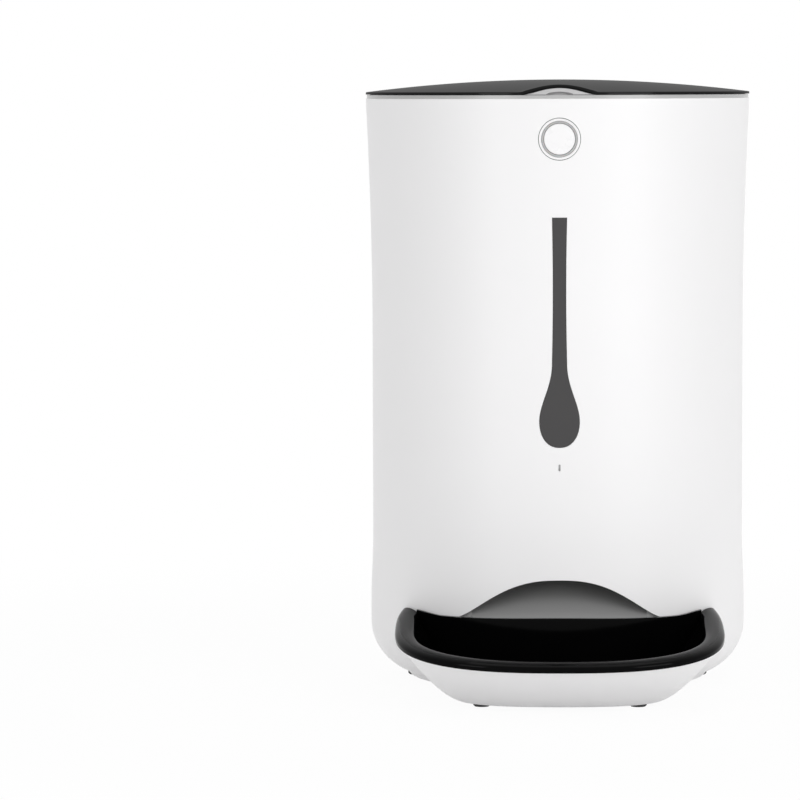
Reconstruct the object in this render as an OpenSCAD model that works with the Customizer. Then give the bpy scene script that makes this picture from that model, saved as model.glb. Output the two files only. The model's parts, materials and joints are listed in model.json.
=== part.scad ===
// Automatic pet feeder with a camera behind a drop-shaped window.
// Millimetres, +Z up, front towards -Y, origin on the floor under the middle of the box.

/* [Overall] */
// Height from the floor to the crown of the lid
total_h = 360; // [340:1:390]
// Outer radius of the body at its top edge
top_r = 115; // [113:0.5:122]
// Outer radius of the body at its waist
waist_r = 111.4; // [110:0.1:113]
// Outer radius of the body above its rounded foot
hip_r = 112.6; // [111:0.1:114]
// How far the bowl reaches in front of the body's axis
front_reach = 190; // [184:1:200]

/* [Housing] */
// Wall of the housing
wall = 2.8; // [2:0.1:3.2]
// Height where the waist starts to flare upwards
flare_z = 215; // [180:1:240]
// Height where the waist starts to swell downwards
swell_z = 88; // [80:1:100]
// Width of the rounded foot's ellipse
round_w = 33; // [28:1:36]
// Height of the rounded foot's ellipse
round_h = 31; // [27:1:34]
// Half width of the food arch in the front wall
arch_half_w = 61; // [58:1:66]
// Rise of the food arch above its foot
arch_rise = 23.5; // [18:0.5:25]
// Height of the arch's foot and of the bowl's back edge
sill_z = 46; // [45:0.5:48]

/* [Base] */
// Height of the rubber feet below the base
foot_h = 2; // [1:0.5:4]
// Radius of a foot
foot_r = 5; // [4:0.5:7]
// Thickness of the base plate
base_t = 3.5; // [3:0.1:5]
// Wall of the cradle that holds the bowl
cradle_wall = 2.6; // [2:0.1:3.2]

/* [Bowl] */
// Half width of the bowl's rim
rim_half_w = 95.5; // [90:0.5:98]
// Width of the rim from its outer to its inner edge
rim_w = 12; // [9:0.5:15]
// Thickness of the rim
rim_t = 5; // [4.5:0.5:6]
// Rise of the rim's rounded back above its edges
rim_dome = 3; // [2:0.1:3.5]
// Height of the rim where it meets the housing
rim_z = 48.5; // [46:0.5:49]
// Forward tilt of the rim in degrees
rim_tilt = 7.7; // [5:0.1:9]
// Wall of the bowl
bowl_wall = 2.5; // [1.8:0.1:3]
// Squareness of the rim's outline
rim_power = 2.6; // [2.2:0.1:3.2]

/* [Hopper] */
// Thickness of the deck that shows as a pale strip under the lid
deck_t = 2; // [1.5:0.1:3]
// Wall of the hopper
hopper_wall = 2; // [1.5:0.1:2.6]
// Width of the deck's ring round the hopper
deck_w = 7.4; // [6:0.1:9]
// Depth of the electronics bay that is cut from the hopper's round front
bay_depth = 29.6; // [27:0.2:34]
// Half width of the electronics bay
bay_half_w = 34; // [30:1:36]
// Depth of the flat that is cut from the hopper's round rear
rear_depth = 14.6; // [12:0.2:18]
// Height where the hopper's funnel starts
funnel_z = 165; // [155:1:185]

/* [Drum and rotor] */
// Inner radius of the metering drum
drum_r = 62; // [58:1:64]
// Underside of the drum's floor
drum_z = 100; // [98:0.5:104]
// Inner height of the drum
drum_h = 21.5; // [19:0.5:24]
// Wall and floor of the drum
drum_wall = 2.5; // [2:0.1:3]
// Number of rotor vanes
vanes = 6; // [4:1:8]
// Thickness of a rotor vane
vane_t = 2.5; // [2:0.1:3.5]
// Radius of the rotor's shaft
shaft_r = 4; // [3:0.5:5]

/* [Gears] */
// Tooth module
gear_module = 1.25; // [1.1:0.05:1.3]
// Teeth on the rotor's gear
gear_teeth = 36; // [32:1:38]
// Teeth on the motor's pinion
pinion_teeth = 12; // [11:1:14]
// Width of the teeth
gear_w = 8; // [5:0.5:9]
// Play between meshing teeth
backlash = 0.35; // [0.2:0.05:0.5]

/* [Chute] */
// Half width of the duct's inside
chute_half_w = 51; // [46:0.5:51]
// Wall of the duct
chute_wall = 2.5; // [2:0.1:3]

/* [Lid] */
// Height of the lid from the deck to its crown
lid_h = 9; // [8:0.1:11]
// Height of the lid's rim
lid_edge_h = 2.4; // [2:0.1:3]
// Wall of the lid
lid_wall = 2.2; // [1.6:0.1:2.4]
// How far in front of the rear edge the lid ends and its hinge begins
hinge_in = 20; // [19:0.5:21]
// Radius of the hinge pin
pin_r = 1.2; // [1:0.05:1.3]
// Radius of the hinge knuckles
knuckle_r = 2.1; // [2:0.05:2.3]
// Radius of the desiccant box
desiccant_r = 30; // [24:1:36]

/* [Front panel] */
// How far the feed button's middle lies below the body's top edge
button_drop = 23.2; // [18:0.2:30]
// Radius of the feed button
button_r = 8.85; // [7.5:0.05:9.5]
// Width of the light ring round the button
ring_w = 1.15; // [0.9:0.05:1.5]
// Outer radius of the button's bezel
bezel_r = 12.35; // [12.2:0.05:13.5]
// Travel of the feed button
button_travel = 1; // [0.5:0.1:1.2]
// How far the drop window's stem starts below the body's top edge
stem_drop = 68.4; // [60:0.2:80]
// Length of the stem
stem_len = 83.6; // [70:0.2:95]
// Length over which the stem swells into the drop
swell_len = 34; // [28:0.5:40]
// Length from the drop's widest place, where the lens stands behind it, to its bottom
drop_len = 15.3; // [13:0.1:18]
// Half width of the stem in its middle
stem_half_w = 3.75; // [3:0.05:5]
// How much wider the stem grows on each side towards both its ends
stem_flare = 0.5; // [0:0.1:1]
// Half width of the drop
drop_half_w = 11.6; // [10:0.1:13]
// How far the microphone's slot lies below the drop's widest place
mic_drop = 27; // [25:0.5:31]

/* [Fits] */
// Gap between pieces that move past each other
gap = 0.3; // [0.25:0.05:0.4]
// Radial clearance of a running shaft
run_fit = 0.05; // [0.02:0.01:0.08]
// Gap between pieces that are fixed together
seat_fit = 0.1; // [0.05:0.01:0.15]

/* [Hidden] */
$fn = 96;
axis_y = (front_reach - top_r) / 2;
base_top = foot_h + base_t;
deck_top = total_h - lid_h;
body_top = deck_top - deck_t;
round_z = foot_h + 1 + round_h;
base_r = body_r(base_top) - 0.6;
dome_r = (top_r * top_r + pow(lid_h - lid_edge_h, 2)) / (2 * (lid_h - lid_edge_h));
hopper_gap = 1;
hopper_r = min(waist_r - wall - hopper_gap, top_r - deck_w);
bay_y = hopper_r - bay_depth;
rear_y = hopper_r - rear_depth;
drum_top = drum_z + drum_wall + drum_h;
gear_dist = gear_module * (gear_teeth + pinion_teeth) / 2;
gear_z = drum_z - 5 - gear_w;
plate_top = gear_z - 2;
plate_t = 3;
lid_end_y = top_r - hinge_in;
pin_y = lid_end_y + 4.5;
pin_z = deck_top + knuckle_r + gap;
rim_pivot = [0, -69, rim_z];
boat_y = -110;
button_z = body_top - button_drop;
drop_top = body_top - stem_drop;
drop_neck = drop_top - stem_len;
drop_z = drop_neck - swell_len;
mic_z = drop_z - mic_drop;
past_wall = max(top_r, waist_r, hip_r) + 15;
panel_in = waist_r / 2;
over = 1;
flush = 0.01;
press_fit = 0.02;
rim_front = (front_reach + rim_pivot[1] + rim_dome * sin(rim_tilt)) / cos(rim_tilt) - rim_pivot[1] + boat_y;

// Smooth step from 0 to 1
function ease(t) = let (u = min(1, max(0, t))) u * u * (3 - 2 * u);

// Outer radius of the body at height z: flared top, straight waist, swelling, round foot
function foot_drop(z) =
  z > round_z ? 0 : round_w * (1 - sqrt(1 - pow((round_z - z) / round_h, 2)));
function body_r(z) =
  z > flare_z ? waist_r + (top_r - waist_r) * pow((z - flare_z) / (body_top - flare_z), 1.8)
  : waist_r + (hip_r - waist_r) * ease((swell_z - z) / (swell_z - round_z - 12)) - foot_drop(z);

// Heights at which the body's profile bends
function profile_heights() = concat(
  [for (i = [0:7]) base_top + (round_z - base_top) * sin(i * 90 / 7)],
  [for (i = [1:4]) round_z + (swell_z - round_z) * i / 4],
  [for (i = [0:7]) flare_z + (body_top - flare_z) * i / 7]);

// A bell-shaped arch, flat at the foot and round at the crown
function bell(half_w, rise, n) =
  [for (i = [-n:n]) let (t = i / n) [half_w * t, rise * pow(1 - t * t, 1.5)]];

// Outline of the rim and of the boat: a squared-off oval, longer behind than in front
oval_rear = 108;
oval_points = 52;
function oval(half_w, front) = [for (i = [0:oval_points - 1])
  let (a = 360 * i / oval_points, c = cos(a), s = sin(a), p = 2 / rim_power)
  [half_w * sign(c) * pow(abs(c), p), (s < 0 ? front : oval_rear) * sign(s) * pow(abs(s), p)]];

// Half width of the drop window at height z: a slightly waisted stem over a drop
drop_power = 2.2;
swell_power = 1.15;
function stem_w(z) = let (mid = (drop_top + drop_neck) / 2)
  stem_half_w + stem_flare * pow(min(1, abs(z - mid) / (drop_top - mid)), 2);
function drop_w(z, grow) = z < drop_z
  ? let (t = (drop_z - z) / (drop_len + grow))
    (drop_half_w + grow) * pow(max(0, 1 - pow(t, drop_power)), 1 / drop_power)
  : let (w = stem_w(z), t = pow(max(0, (drop_neck - z) / swell_len), swell_power))
    grow + w + (drop_half_w - w) * ease(t);
function drop_heights(grow) = concat(
  [for (i = [0:6]) drop_z - (drop_len + grow) * cos(i * 90 / 6)],
  [for (i = [1:8]) drop_z + swell_len * i / 8],
  [for (i = [1:6]) drop_neck + (stem_len + grow) * i / 6]);

// Points of one gear tooth flank, from the root to the tip, as [radius, half angle]
function involute(base, r) = r <= base ? 0 : sqrt(r * r / base / base - 1) * 180 / PI - acos(base / r);
function gear_points(teeth) = let (
    rp = gear_module * teeth / 2, rb = rp * cos(25),
    rr = rp - 1.1 * gear_module, rt = rp + 0.8 * gear_module,
    half = 90 / teeth - backlash / 2 / rp * 180 / PI + involute(rb, rp),
    radii = [rr, (max(rr, rb) + rp) / 2, (rp + rt) / 2, rt],
    up = [for (r = radii) [r, -(half - involute(rb, r))]],
    down = [for (i = [3:-1:0]) [radii[i], half - involute(rb, radii[i])]])
  [for (k = [0:teeth - 1]) for (p = concat(up, down))
    let (a = 360 * k / teeth + p[1]) [p[0] * cos(a), p[0] * sin(a)]];

// Moves a piece from the body's axis into the part's frame
module at_axis() translate([0, axis_y, 0]) children();

// A rod along Y from y0 to y1
module rod_y(r, y0, y1, x = 0, z = 0)
  translate([x, y0, z]) rotate([-90, 0, 0]) cylinder(r = r, h = y1 - y0);

// A block given by its lowest and highest corners
module block(lo, hi) translate(lo) cube(hi - lo);

// Solid of the body's outline, drawn in by d at the side and raised by lift at the foot
module body_solid(d = 0, lift = 0, over = 0)
  rotate_extrude()
    polygon(concat([[0, base_top + lift]],
      [for (z = profile_heights())
        [body_r(z) - d, z + lift * max(0, (round_z - z) / (round_z - base_top))]],
      over > 0 ? [[body_r(body_top) - d, body_top + over]] : [], [[0, body_top + over]]));

// The layer of the front wall between two depths under its outer face
module wall_layer(d0, d1) difference() {
  body_solid(d0);
  body_solid(d1);
}

// The drop outline pushed through the front wall
module drop_prism(grow)
  translate([0, -panel_in, 0])
    rotate([90, 0, 0])
      linear_extrude(past_wall - panel_in)
        polygon(concat(
          [for (z = drop_heights(grow)) [drop_w(z, grow), z]],
          [for (z = [for (i = [len(drop_heights(grow)) - 1:-1:1]) drop_heights(grow)[i]])
            [-drop_w(z, grow), z]]));

// A bell-shaped arch pushed along Y, standing on height z0
module bell_prism(half_w, rise, z0, y0, y1)
  translate([0, y1, z0])
    rotate([90, 0, 0])
      linear_extrude(y1 - y0)
        polygon(bell(half_w, rise, 10));

// Places of the screws that hold the base plate to the housing
base_screw_r = 2;
base_screw_len = 16;
base_screw_sink = 0.3;
base_head_h = 1.7;
head_ratio = 1.9;
base_screw_in = 12;
base_screw_reach = base_r - base_screw_in;
base_screw_at = [for (a = [15, 165, 220, 320]) base_screw_reach * [cos(a), sin(a)]];
post_r = 5;
post_h = 22;
post_roof = 4;
rib_len = 40;
rib_t = 2;
arch_in = hip_r / 2;
sill_drop = 6;
sill_side = 0.6;
mic_half_w = 0.6;
mic_half_h = 2;

module housing() color("white") at_axis() difference() {
  union() {
    difference() {
      body_solid();
      body_solid(wall, wall, 1);
      translate([0, 0, base_top - over]) cylinder(r = body_r(base_top) - wall, h = wall + 2 * over);
    }
    intersection() {
      body_solid(wall / 2);
      union() for (p = base_screw_at) translate([p[0], p[1], base_top]) {
        cylinder(r = post_r, h = post_h);
        rotate(atan2(p[1], p[0])) translate([0, -rib_t / 2, 0]) cube([rib_len, rib_t, post_h]);
      }
    }
  }
  for (p = base_screw_at) translate([p[0], p[1], base_top - 1])
    cylinder(r = base_screw_r + seat_fit, h = post_h - post_roof);
  bell_prism(arch_half_w, arch_rise, sill_z, -past_wall, -arch_in);
  block([-chute_half_w - sill_side, -past_wall, sill_z - sill_drop],
    [chute_half_w + sill_side, -arch_in, sill_z + flush]);
  drop_prism(seat_fit);
  rod_y(bezel_r + seat_fit, -past_wall, -panel_in, z = button_z);
  block([-mic_half_w, -past_wall, mic_z - mic_half_h], [mic_half_w, -panel_in, mic_z + mic_half_h]);
  rod_y(inlet_r + seat_fit, inlet_out - inlet_len, past_wall, z = inlet_z);
}

// One level ring of the boat or bowl, and one parallel to the rim at depth t below its top
function level_ring(half_w, front, z) = [for (p = oval(half_w, front)) [p[0], p[1] + boat_y, z]];
function rim_ring(half_w, front, t) = [for (p = oval(half_w, front))
  let (y = p[1] + boat_y - rim_pivot[1])
  rim_pivot + [p[0], y * cos(rim_tilt) + t * sin(rim_tilt), y * sin(rim_tilt) - t * cos(rim_tilt)]];

// A closed skin over rings of equal count, listed from the bottom to the top
module loft(rings) {
  n = len(rings[0]);
  last = (len(rings) - 1) * n;
  polyhedron(
    points = [for (r = rings) each r],
    faces = concat(
      [[for (k = [0:n - 1]) k]],
      [for (i = [0:len(rings) - 2]) for (k = [0:n - 1])
        let (b = i * n + k, c = i * n + (k + 1) % n) each [[b, b + n, c + n], [b, c + n, c]]],
      [[for (k = [n - 1:-1:0]) last + k]]));
}

// Rings from a bottom ring to a top ring that swell out early and then rise
swell_steps = 5;
function swell(low, high, power) = [for (i = [0:swell_steps])
  let (t = pow(i / swell_steps, 2), u = pow(t, power))
  [for (k = [0:len(low) - 1]) let (way = high[k] - low[k]) low[k] + [way[0] * u, way[1] * u, way[2] * t]]];

// The boat under the bowl, drawn in by d, raised by lift at the bottom, and top below the rim
boat_half_w = 60;
boat_front = 38;
boat_power = 0.68;
boat_in = 2;
module boat(d, lift, top) loft(swell(
  level_ring(boat_half_w - d, boat_front - d, foot_h + lift),
  rim_ring(rim_half_w - boat_in - d, rim_front - boat_in - d, top), boat_power));

// The battery box, as far to the rear as the round foot lets it stand, over its door
cell_r = 16.9;
cell_len = 59.8;
cell_pitch = 34.2;
box_t = 2;
cell_side_gap = 0.7;
contact_room = 4.2;
box_edge_gap = 5.4;
box_half_w = 1.5 * cell_pitch + cell_side_gap;
box_y1 = sqrt(pow(base_r - wall - box_t, 2) - pow(box_half_w + box_t, 2)) - box_edge_gap;
box_y0 = box_y1 - cell_len - contact_room;

// The battery door's runners in the base plate
door_half_w = 50;
door_y0 = box_y0 + 1;
door_y1 = box_y1 - 1;
door_z = foot_h + 0.8;
door_t = 1.2;
door_lip = 3;

foot_edge_gap = 1.5;
side_foot_y = 2;
door_side_gap = 2;
front_foot_x = 45;
front_foot_ahead = 20;
side_foot = [base_r - foot_r - foot_edge_gap, side_foot_y];
rear_foot_x = door_half_w + door_lip + foot_r + door_side_gap;
rear_foot = [rear_foot_x, sqrt(pow(base_r - 2 * foot_r, 2) - pow(rear_foot_x, 2))];
front_foot = [front_foot_x, boat_y - front_foot_ahead];
foot_at = [for (p = [front_foot, side_foot, rear_foot]) for (s = [1, -1]) [s * p[0], p[1]]];
foot_recess = 1;
foot_edge = 0.8;

speaker_r = 20;
speaker_edge = 10;
speaker_at = [0, speaker_r + speaker_edge - base_r];
grille_pitch = 6;
grille_r = 1.5;
grille_at = [[0, 0], for (k = [1, 2]) for (i = [0:6 * k - 1])
  let (a = 60 * i / k) grille_pitch * k * [cos(a), sin(a)]];
base_draft = 3;

module base_tray() color("white") at_axis() difference() {
  union() {
    difference() {
      boat(0, 0, rim_t + gap);
      boat(cradle_wall, base_t, -2);
      body_clear();
    }
    translate([0, 0, foot_h]) cylinder(r1 = base_r - base_draft, r2 = base_r, h = base_t);
  }
  for (p = foot_at) translate([p[0], p[1], foot_h - over])
    cylinder(r = foot_r + seat_fit, h = over + foot_recess);
  for (p = base_screw_at) translate([p[0], p[1], foot_h - over]) {
    cylinder(r = base_screw_r + seat_fit, h = base_t + 2 * over);
    cylinder(r = base_screw_r * head_ratio + 2 * seat_fit, h = over + base_screw_sink + base_head_h);
  }
  for (q = grille_at) translate([speaker_at[0] + q[0], speaker_at[1] + q[1], foot_h - over])
    cylinder(r = grille_r, h = base_t + 2 * over);
  block([-door_half_w, door_y0, foot_h - over], [door_half_w, past_wall, door_z]);
  block([-door_half_w - door_lip, door_y0, door_z - flush],
    [door_half_w + door_lip, past_wall, door_z + door_t + 2 * gap]);
  block([-door_half_w, door_y0 + door_lip, foot_h], [door_half_w, door_y1 - door_lip, base_top + over]);
}

// Room for the housing's foot above the base plate
module body_clear() translate([0, 0, base_top])
  rotate_extrude()
    polygon(concat([[0, 0]],
      [for (z = profile_heights()) [body_r(z) + gap, z - base_top]],
      [[0, body_top]]));

module feet() color("dimgray") at_axis()
  for (p = foot_at) translate([p[0], p[1], 0])
    rotate_extrude() polygon([[0, 0], [foot_r - foot_edge, 0], [foot_r, foot_edge],
      [foot_r, foot_h + foot_recess], [0, foot_h + foot_recess]]);

// A screw that points up, with its head at the bottom
module screw(r, len, head_h) {
  cylinder(r = r * head_ratio, h = head_h);
  cylinder(r = r, h = len);
}

module base_screws() color("silver") at_axis()
  for (p = base_screw_at) translate([p[0], p[1], foot_h + base_screw_sink])
    difference() {
      screw(base_screw_r, base_screw_len, base_head_h);
      translate([0, 0, -flush]) cylinder(r = base_screw_r * 0.8, h = base_head_h * 0.6, $fn = 6);
    }

// The bowl's tub, its rounded rim, and the round back that follows the housing
bowl_half_w = 54;
bowl_front = 28;
bowl_power = 0.6;
bowl_z = foot_h + 6;
band_r = hip_r + 1;
band_t = bowl_wall + 1.5;
band_low = bowl_z + 14;

// One ring of the rim, drawn in by d from its outer edge, at depth t
function rim_edge(d, t) = rim_ring(rim_half_w - d, rim_front - d, t);

// A ring on the rim's rounded back, from its outer edge at 0 degrees to its inner edge at 180
roll_steps = 6;
function rim_roll(a) = rim_edge(rim_w / 2 * (1 - cos(a)), rim_dome * (1 - sin(a)));

// Solid of the tub, drawn in by d all round, with its top ring at depth t
module tub(d, t) loft(swell(
  level_ring(bowl_half_w - d, bowl_front - d, bowl_z + d),
  rim_edge(rim_w - bowl_wall + d, t), bowl_power));

module bowl() color("black") at_axis() difference() {
  union() {
    loft(concat([rim_edge(0, rim_t)], [for (i = [0:roll_steps]) rim_roll(i * 180 / roll_steps)]));
    tub(0, rim_t - 1);
    intersection() {
      translate([0, 0, band_low]) cylinder(r = band_r + band_t, h = sill_z - band_low);
      loft([level_ring(bowl_half_w, bowl_front, bowl_z), rim_edge(rim_w - bowl_wall, -rim_w)]);
    }
  }
  difference() {
    union() {
      tub(bowl_wall, rim_dome);
      loft([rim_edge(rim_w, rim_dome + 0.01), rim_edge(rim_w, -rim_w)]);
    }
    cylinder(r = band_r + bowl_wall, h = sill_z * 2);
  }
  translate([0, 0, -1]) cylinder(r = band_r, h = sill_z * 2);
}

// Outline of the hopper's mouth, drawn in by d: round, with a flat bay in front and a flat rear
module mouth_shape(d) difference() {
  circle(r = hopper_r - hopper_wall - d);
  translate([-bay_half_w - hopper_wall - d, -2 * bay_y])
    square([2 * (bay_half_w + hopper_wall + d), bay_y + hopper_wall + d]);
  translate([-hopper_r, rear_y - hopper_wall - d]) square([2 * hopper_r, rear_y]);
}

flange_r = drum_r + 10;
flange_t = 2.5;
flange_screw_r = 1.2;
flange_screw_len = 6;
flange_screw_in = 2.8;
small_head_h = 1.6;
flange_screw_at = [for (a = [45:90:315]) (flange_r - flange_screw_in) * [cos(a), sin(a)]];
deck_r = top_r - 0.6;
hinge_screw_r = 1.2;
hinge_screw_hold = 2;
hinge_screw_x = 25;
hinge_screw_behind = 7;
hinge_screw_at = [for (s = [-1, 1]) [s * hinge_screw_x, pin_y + hinge_screw_behind]];
slot_half_w = 8.6;
slot_edge = 3;
slot_len = 10.4;
slot_y0 = slot_edge - top_r;
slot_y1 = slot_y0 + slot_len;
board_gap = 3;
board_lift = 29;
board_h = 74;
board_y = rear_y + board_gap;
board_z = funnel_z + board_lift;
board_post_r = 3;
board_post_x = 28;
board_post_in = 6;
board_post_at = [for (s = [-1, 1]) for (z = [board_post_in, board_h - board_post_in])
  [s * board_post_x, board_z + z]];
spring_z = body_top - 3;
spring_seat_edge = 26;
spring_seat_y = spring_seat_edge - top_r;
spring_seat_half_w = 6;
spring_seat_h = 4;

// Outline of the hopper's bin from outside
module bin_shape() difference() {
  circle(r = hopper_r);
  translate([-bay_half_w, -2 * bay_y]) square([2 * bay_half_w, bay_y]);
  translate([-hopper_r, rear_y]) square([2 * hopper_r, rear_y]);
}

module deck() color("gainsboro") at_axis() {
  translate([0, 0, body_top]) linear_extrude(deck_t) difference() {
    circle(r = deck_r);
    mouth_shape(0);
    translate([-slot_half_w, slot_y0]) square([2 * slot_half_w, slot_y1 - slot_y0]);
    for (p = hinge_screw_at) translate(p) circle(r = hinge_screw_r + seat_fit);
  }
  block([-spring_seat_half_w, spring_seat_y, spring_z - spring_seat_h],
    [spring_seat_half_w, spring_seat_y + hopper_wall, body_top + deck_t / 2]);
}

module hopper() color("gainsboro") at_axis() {
  translate([0, 0, funnel_z]) linear_extrude(body_top - funnel_z) difference() {
    bin_shape();
    mouth_shape(0);
  }
  for (p = board_post_at) rod_y(board_post_r, rear_y - hopper_wall / 2, board_y, p[0], p[1]);
}

// The flats of the bin carried down into the funnel, d outside the bin's outer face
module funnel_flats(d) {
  block([-bay_half_w - d, -2 * bay_y, drum_top + flange_t], [bay_half_w + d, -bay_y + d, funnel_z + 1]);
  block([-2 * rear_y, rear_y - d, drum_top + flange_t], [2 * rear_y, 2 * rear_y, funnel_z + 1]);
}

module hopper_funnel() color("gainsboro") at_axis() difference() {
  rotate_extrude() polygon([[0, drum_top], [flange_r, drum_top], [flange_r, drum_top + flange_t],
    [drum_r + hopper_wall * 1.4, drum_top + flange_t], [hopper_r, funnel_z], [0, funnel_z]]);
  funnel_flats(0);
  difference() {
    rotate_extrude() polygon([[0, drum_top - 1], [drum_r, drum_top - 1], [drum_r, drum_top + flange_t],
      [hopper_r - hopper_wall, funnel_z], [hopper_r - hopper_wall, funnel_z + 1], [0, funnel_z + 1]]);
    funnel_flats(hopper_wall);
  }
  for (p = flange_screw_at) translate([p[0], p[1], drum_top - 1])
    cylinder(r = flange_screw_r + seat_fit, h = flange_t + 3);
}

bush_r = shaft_r + 2;
bush_flange = 0.8;
bush_flange_w = 2.5;
shield_t = 1.5;
shield_r = drum_r + 4;
shield_y = 16;
shield_hole_r = 16;
outlet_y = 28;
outlet_half_w = 42;
outlet_edge = 4;

module drum() color("lightgray") at_axis() difference() {
  rotate_extrude() polygon([[0, drum_z], [drum_r + drum_wall, drum_z],
    [drum_r + drum_wall, drum_top - flange_t], [flange_r, drum_top - flange_t],
    [flange_r, drum_top], [drum_r, drum_top],
    [drum_r, drum_z + drum_wall], [0, drum_z + drum_wall]]);
  translate([0, 0, drum_z - 1]) cylinder(r = bush_r + seat_fit, h = drum_wall + 2);
  translate([0, 0, drum_z - 1]) linear_extrude(drum_wall + 2) intersection() {
    circle(r = drum_r - outlet_edge);
    translate([-outlet_half_w, -drum_r]) square([2 * outlet_half_w, drum_r - outlet_y]);
  }
  translate([0, 0, drum_top - shield_t]) linear_extrude(shield_t + 1) shield_shape(seat_fit);
  for (p = flange_screw_at) translate([p[0], p[1], drum_z])
    cylinder(r = flange_screw_r + seat_fit, h = drum_top);
}

// The front part of the drum's mouth, which the shield covers
module shield_shape(grow) difference() {
  intersection() {
    circle(r = shield_r + grow);
    translate([-2 * shield_r, -2 * shield_r]) square([4 * shield_r, 2 * shield_r - shield_y + grow]);
  }
  circle(r = shield_hole_r);
}

module metering_shield() color("silver") at_axis()
  translate([0, 0, drum_top - shield_t]) linear_extrude(shield_t) shield_shape(0);

rotor_z = drum_z + drum_wall + bush_flange + gap;
rotor_top = drum_top - shield_t - 1.5;
hub_r = 12;
vane_gap = 1.2;

module rotor() color("whitesmoke") at_axis() translate([0, 0, rotor_z]) difference() {
  union() {
    cylinder(r = hub_r, h = rotor_top - rotor_z);
    intersection() {
      cylinder(r = drum_r - vane_gap, h = rotor_top - rotor_z);
      for (k = [0:vanes - 1]) rotate(90 + 360 * k / vanes)
        translate([0, -vane_t / 2, 0]) cube([drum_r, vane_t, rotor_top - rotor_z]);
    }
  }
  translate([0, 0, -over]) cylinder(r = shaft_r + press_fit, h = rotor_top);
}

stirrer_h = 12;
stirrer_wall = 4;
arm_half_len = 46;
arm_r = 2.4;
arm_drop = 4;
finger_x = 34;
finger_h = 22;
finger_r = [2.3, 1.6];

module rotor_shaft() color("silver") at_axis()
  translate([0, 0, plate_top - plate_t - 1])
    cylinder(r = shaft_r, h = rotor_top + stirrer_h - plate_top + plate_t);

module stirrer() color("whitesmoke") at_axis() difference() {
  union() {
    translate([0, 0, rotor_top]) cylinder(r = shaft_r + stirrer_wall, h = stirrer_h);
    translate([-arm_half_len, 0, rotor_top + stirrer_h - arm_drop])
      rotate([0, 90, 0]) cylinder(r = arm_r, h = 2 * arm_half_len);
    for (x = [-finger_x, finger_x]) translate([x, 0, rotor_top + stirrer_h - arm_drop])
      cylinder(r1 = finger_r[0], r2 = finger_r[1], h = finger_h);
  }
  translate([0, 0, rotor_top - over]) cylinder(r = shaft_r + press_fit, h = stirrer_h);
}

// A flanged bush whose sleeve hangs in a plate, with its flange on top
module bush(z_top, sleeve) translate([0, 0, z_top]) difference() {
  union() {
    translate([0, 0, -sleeve]) cylinder(r = bush_r, h = sleeve);
    cylinder(r = bush_r + bush_flange_w, h = bush_flange);
  }
  translate([0, 0, -sleeve - 1]) cylinder(r = shaft_r + run_fit, h = sleeve + bush_flange + 2);
}

module floor_bush() color("goldenrod") at_axis() bush(drum_z + drum_wall, drum_wall);
module lower_bush() color("goldenrod") at_axis() bush(plate_top, plate_t);

module rotor_gear() color("ivory") at_axis() translate([0, 0, gear_z]) difference() {
  linear_extrude(gear_w) polygon(gear_points(gear_teeth));
  translate([0, 0, -1]) cylinder(r = shaft_r + press_fit, h = gear_w + 2 * over);
}

motor_shaft_r = 3;
motor_shaft_in = 8;
motor_offset = 7;
gearbox_r = 18.5;
gearbox_h = 22;
can_r = 16.5;
can_h = 16;
can_boss_r = 5;
can_boss_h = 1.5;
boss_r = 6;
boss_h = 2;

module motor_pinion() color("ivory") at_axis() translate([0, gear_dist, gear_z]) difference() {
  rotate(180 / pinion_teeth - 90) linear_extrude(gear_w) polygon(gear_points(pinion_teeth));
  translate([0, 0, -1]) cylinder(r = motor_shaft_r + press_fit, h = gear_w + 2 * over);
}

module motor_shaft() color("silver") at_axis()
  translate([0, gear_dist, plate_top - plate_t - motor_shaft_in])
    cylinder(r = motor_shaft_r, h = gear_z + gear_w + 1 - plate_top + plate_t + motor_shaft_in);

module gearbox() color("darkgray") at_axis() difference() {
  union() {
    translate([0, gear_dist + motor_offset, plate_top - plate_t - gearbox_h])
      cylinder(r = gearbox_r, h = gearbox_h);
    translate([0, gear_dist, plate_top - plate_t - over]) cylinder(r = boss_r, h = over + boss_h);
  }
  translate([0, gear_dist, plate_top - plate_t - motor_shaft_in - 1])
    cylinder(r = motor_shaft_r + run_fit, h = motor_shaft_in + boss_h + 2);
}

module motor_can() color("silver") at_axis()
  translate([0, gear_dist + motor_offset, plate_top - plate_t - gearbox_h - can_h]) {
    cylinder(r = can_r, h = can_h);
    translate([0, 0, -can_boss_h]) cylinder(r = can_boss_r, h = can_boss_h + flush);
  }

plate_half_w = 31;
plate_y = [-21, 59];
pillar_r = 4;
pillar_in = 5;
pillar_at = [for (s = [-1, 1]) for (y = [plate_y[0] + pillar_in, plate_y[1] - pillar_in])
  [s * (plate_half_w - pillar_in), y]];

module drive_plate() color("lightgray") at_axis() difference() {
  union() {
    block([-plate_half_w, plate_y[0], plate_top - plate_t], [plate_half_w, plate_y[1], plate_top]);
    for (p = pillar_at) translate([p[0], p[1], plate_top - over])
      cylinder(r = pillar_r, h = drum_z - plate_top + over);
  }
  translate([0, 0, plate_top - plate_t - 1]) cylinder(r = bush_r + seat_fit, h = plate_t + 2);
  translate([0, gear_dist, plate_top - plate_t - 1]) cylinder(r = boss_r + seat_fit, h = plate_t + 2);
}

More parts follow.
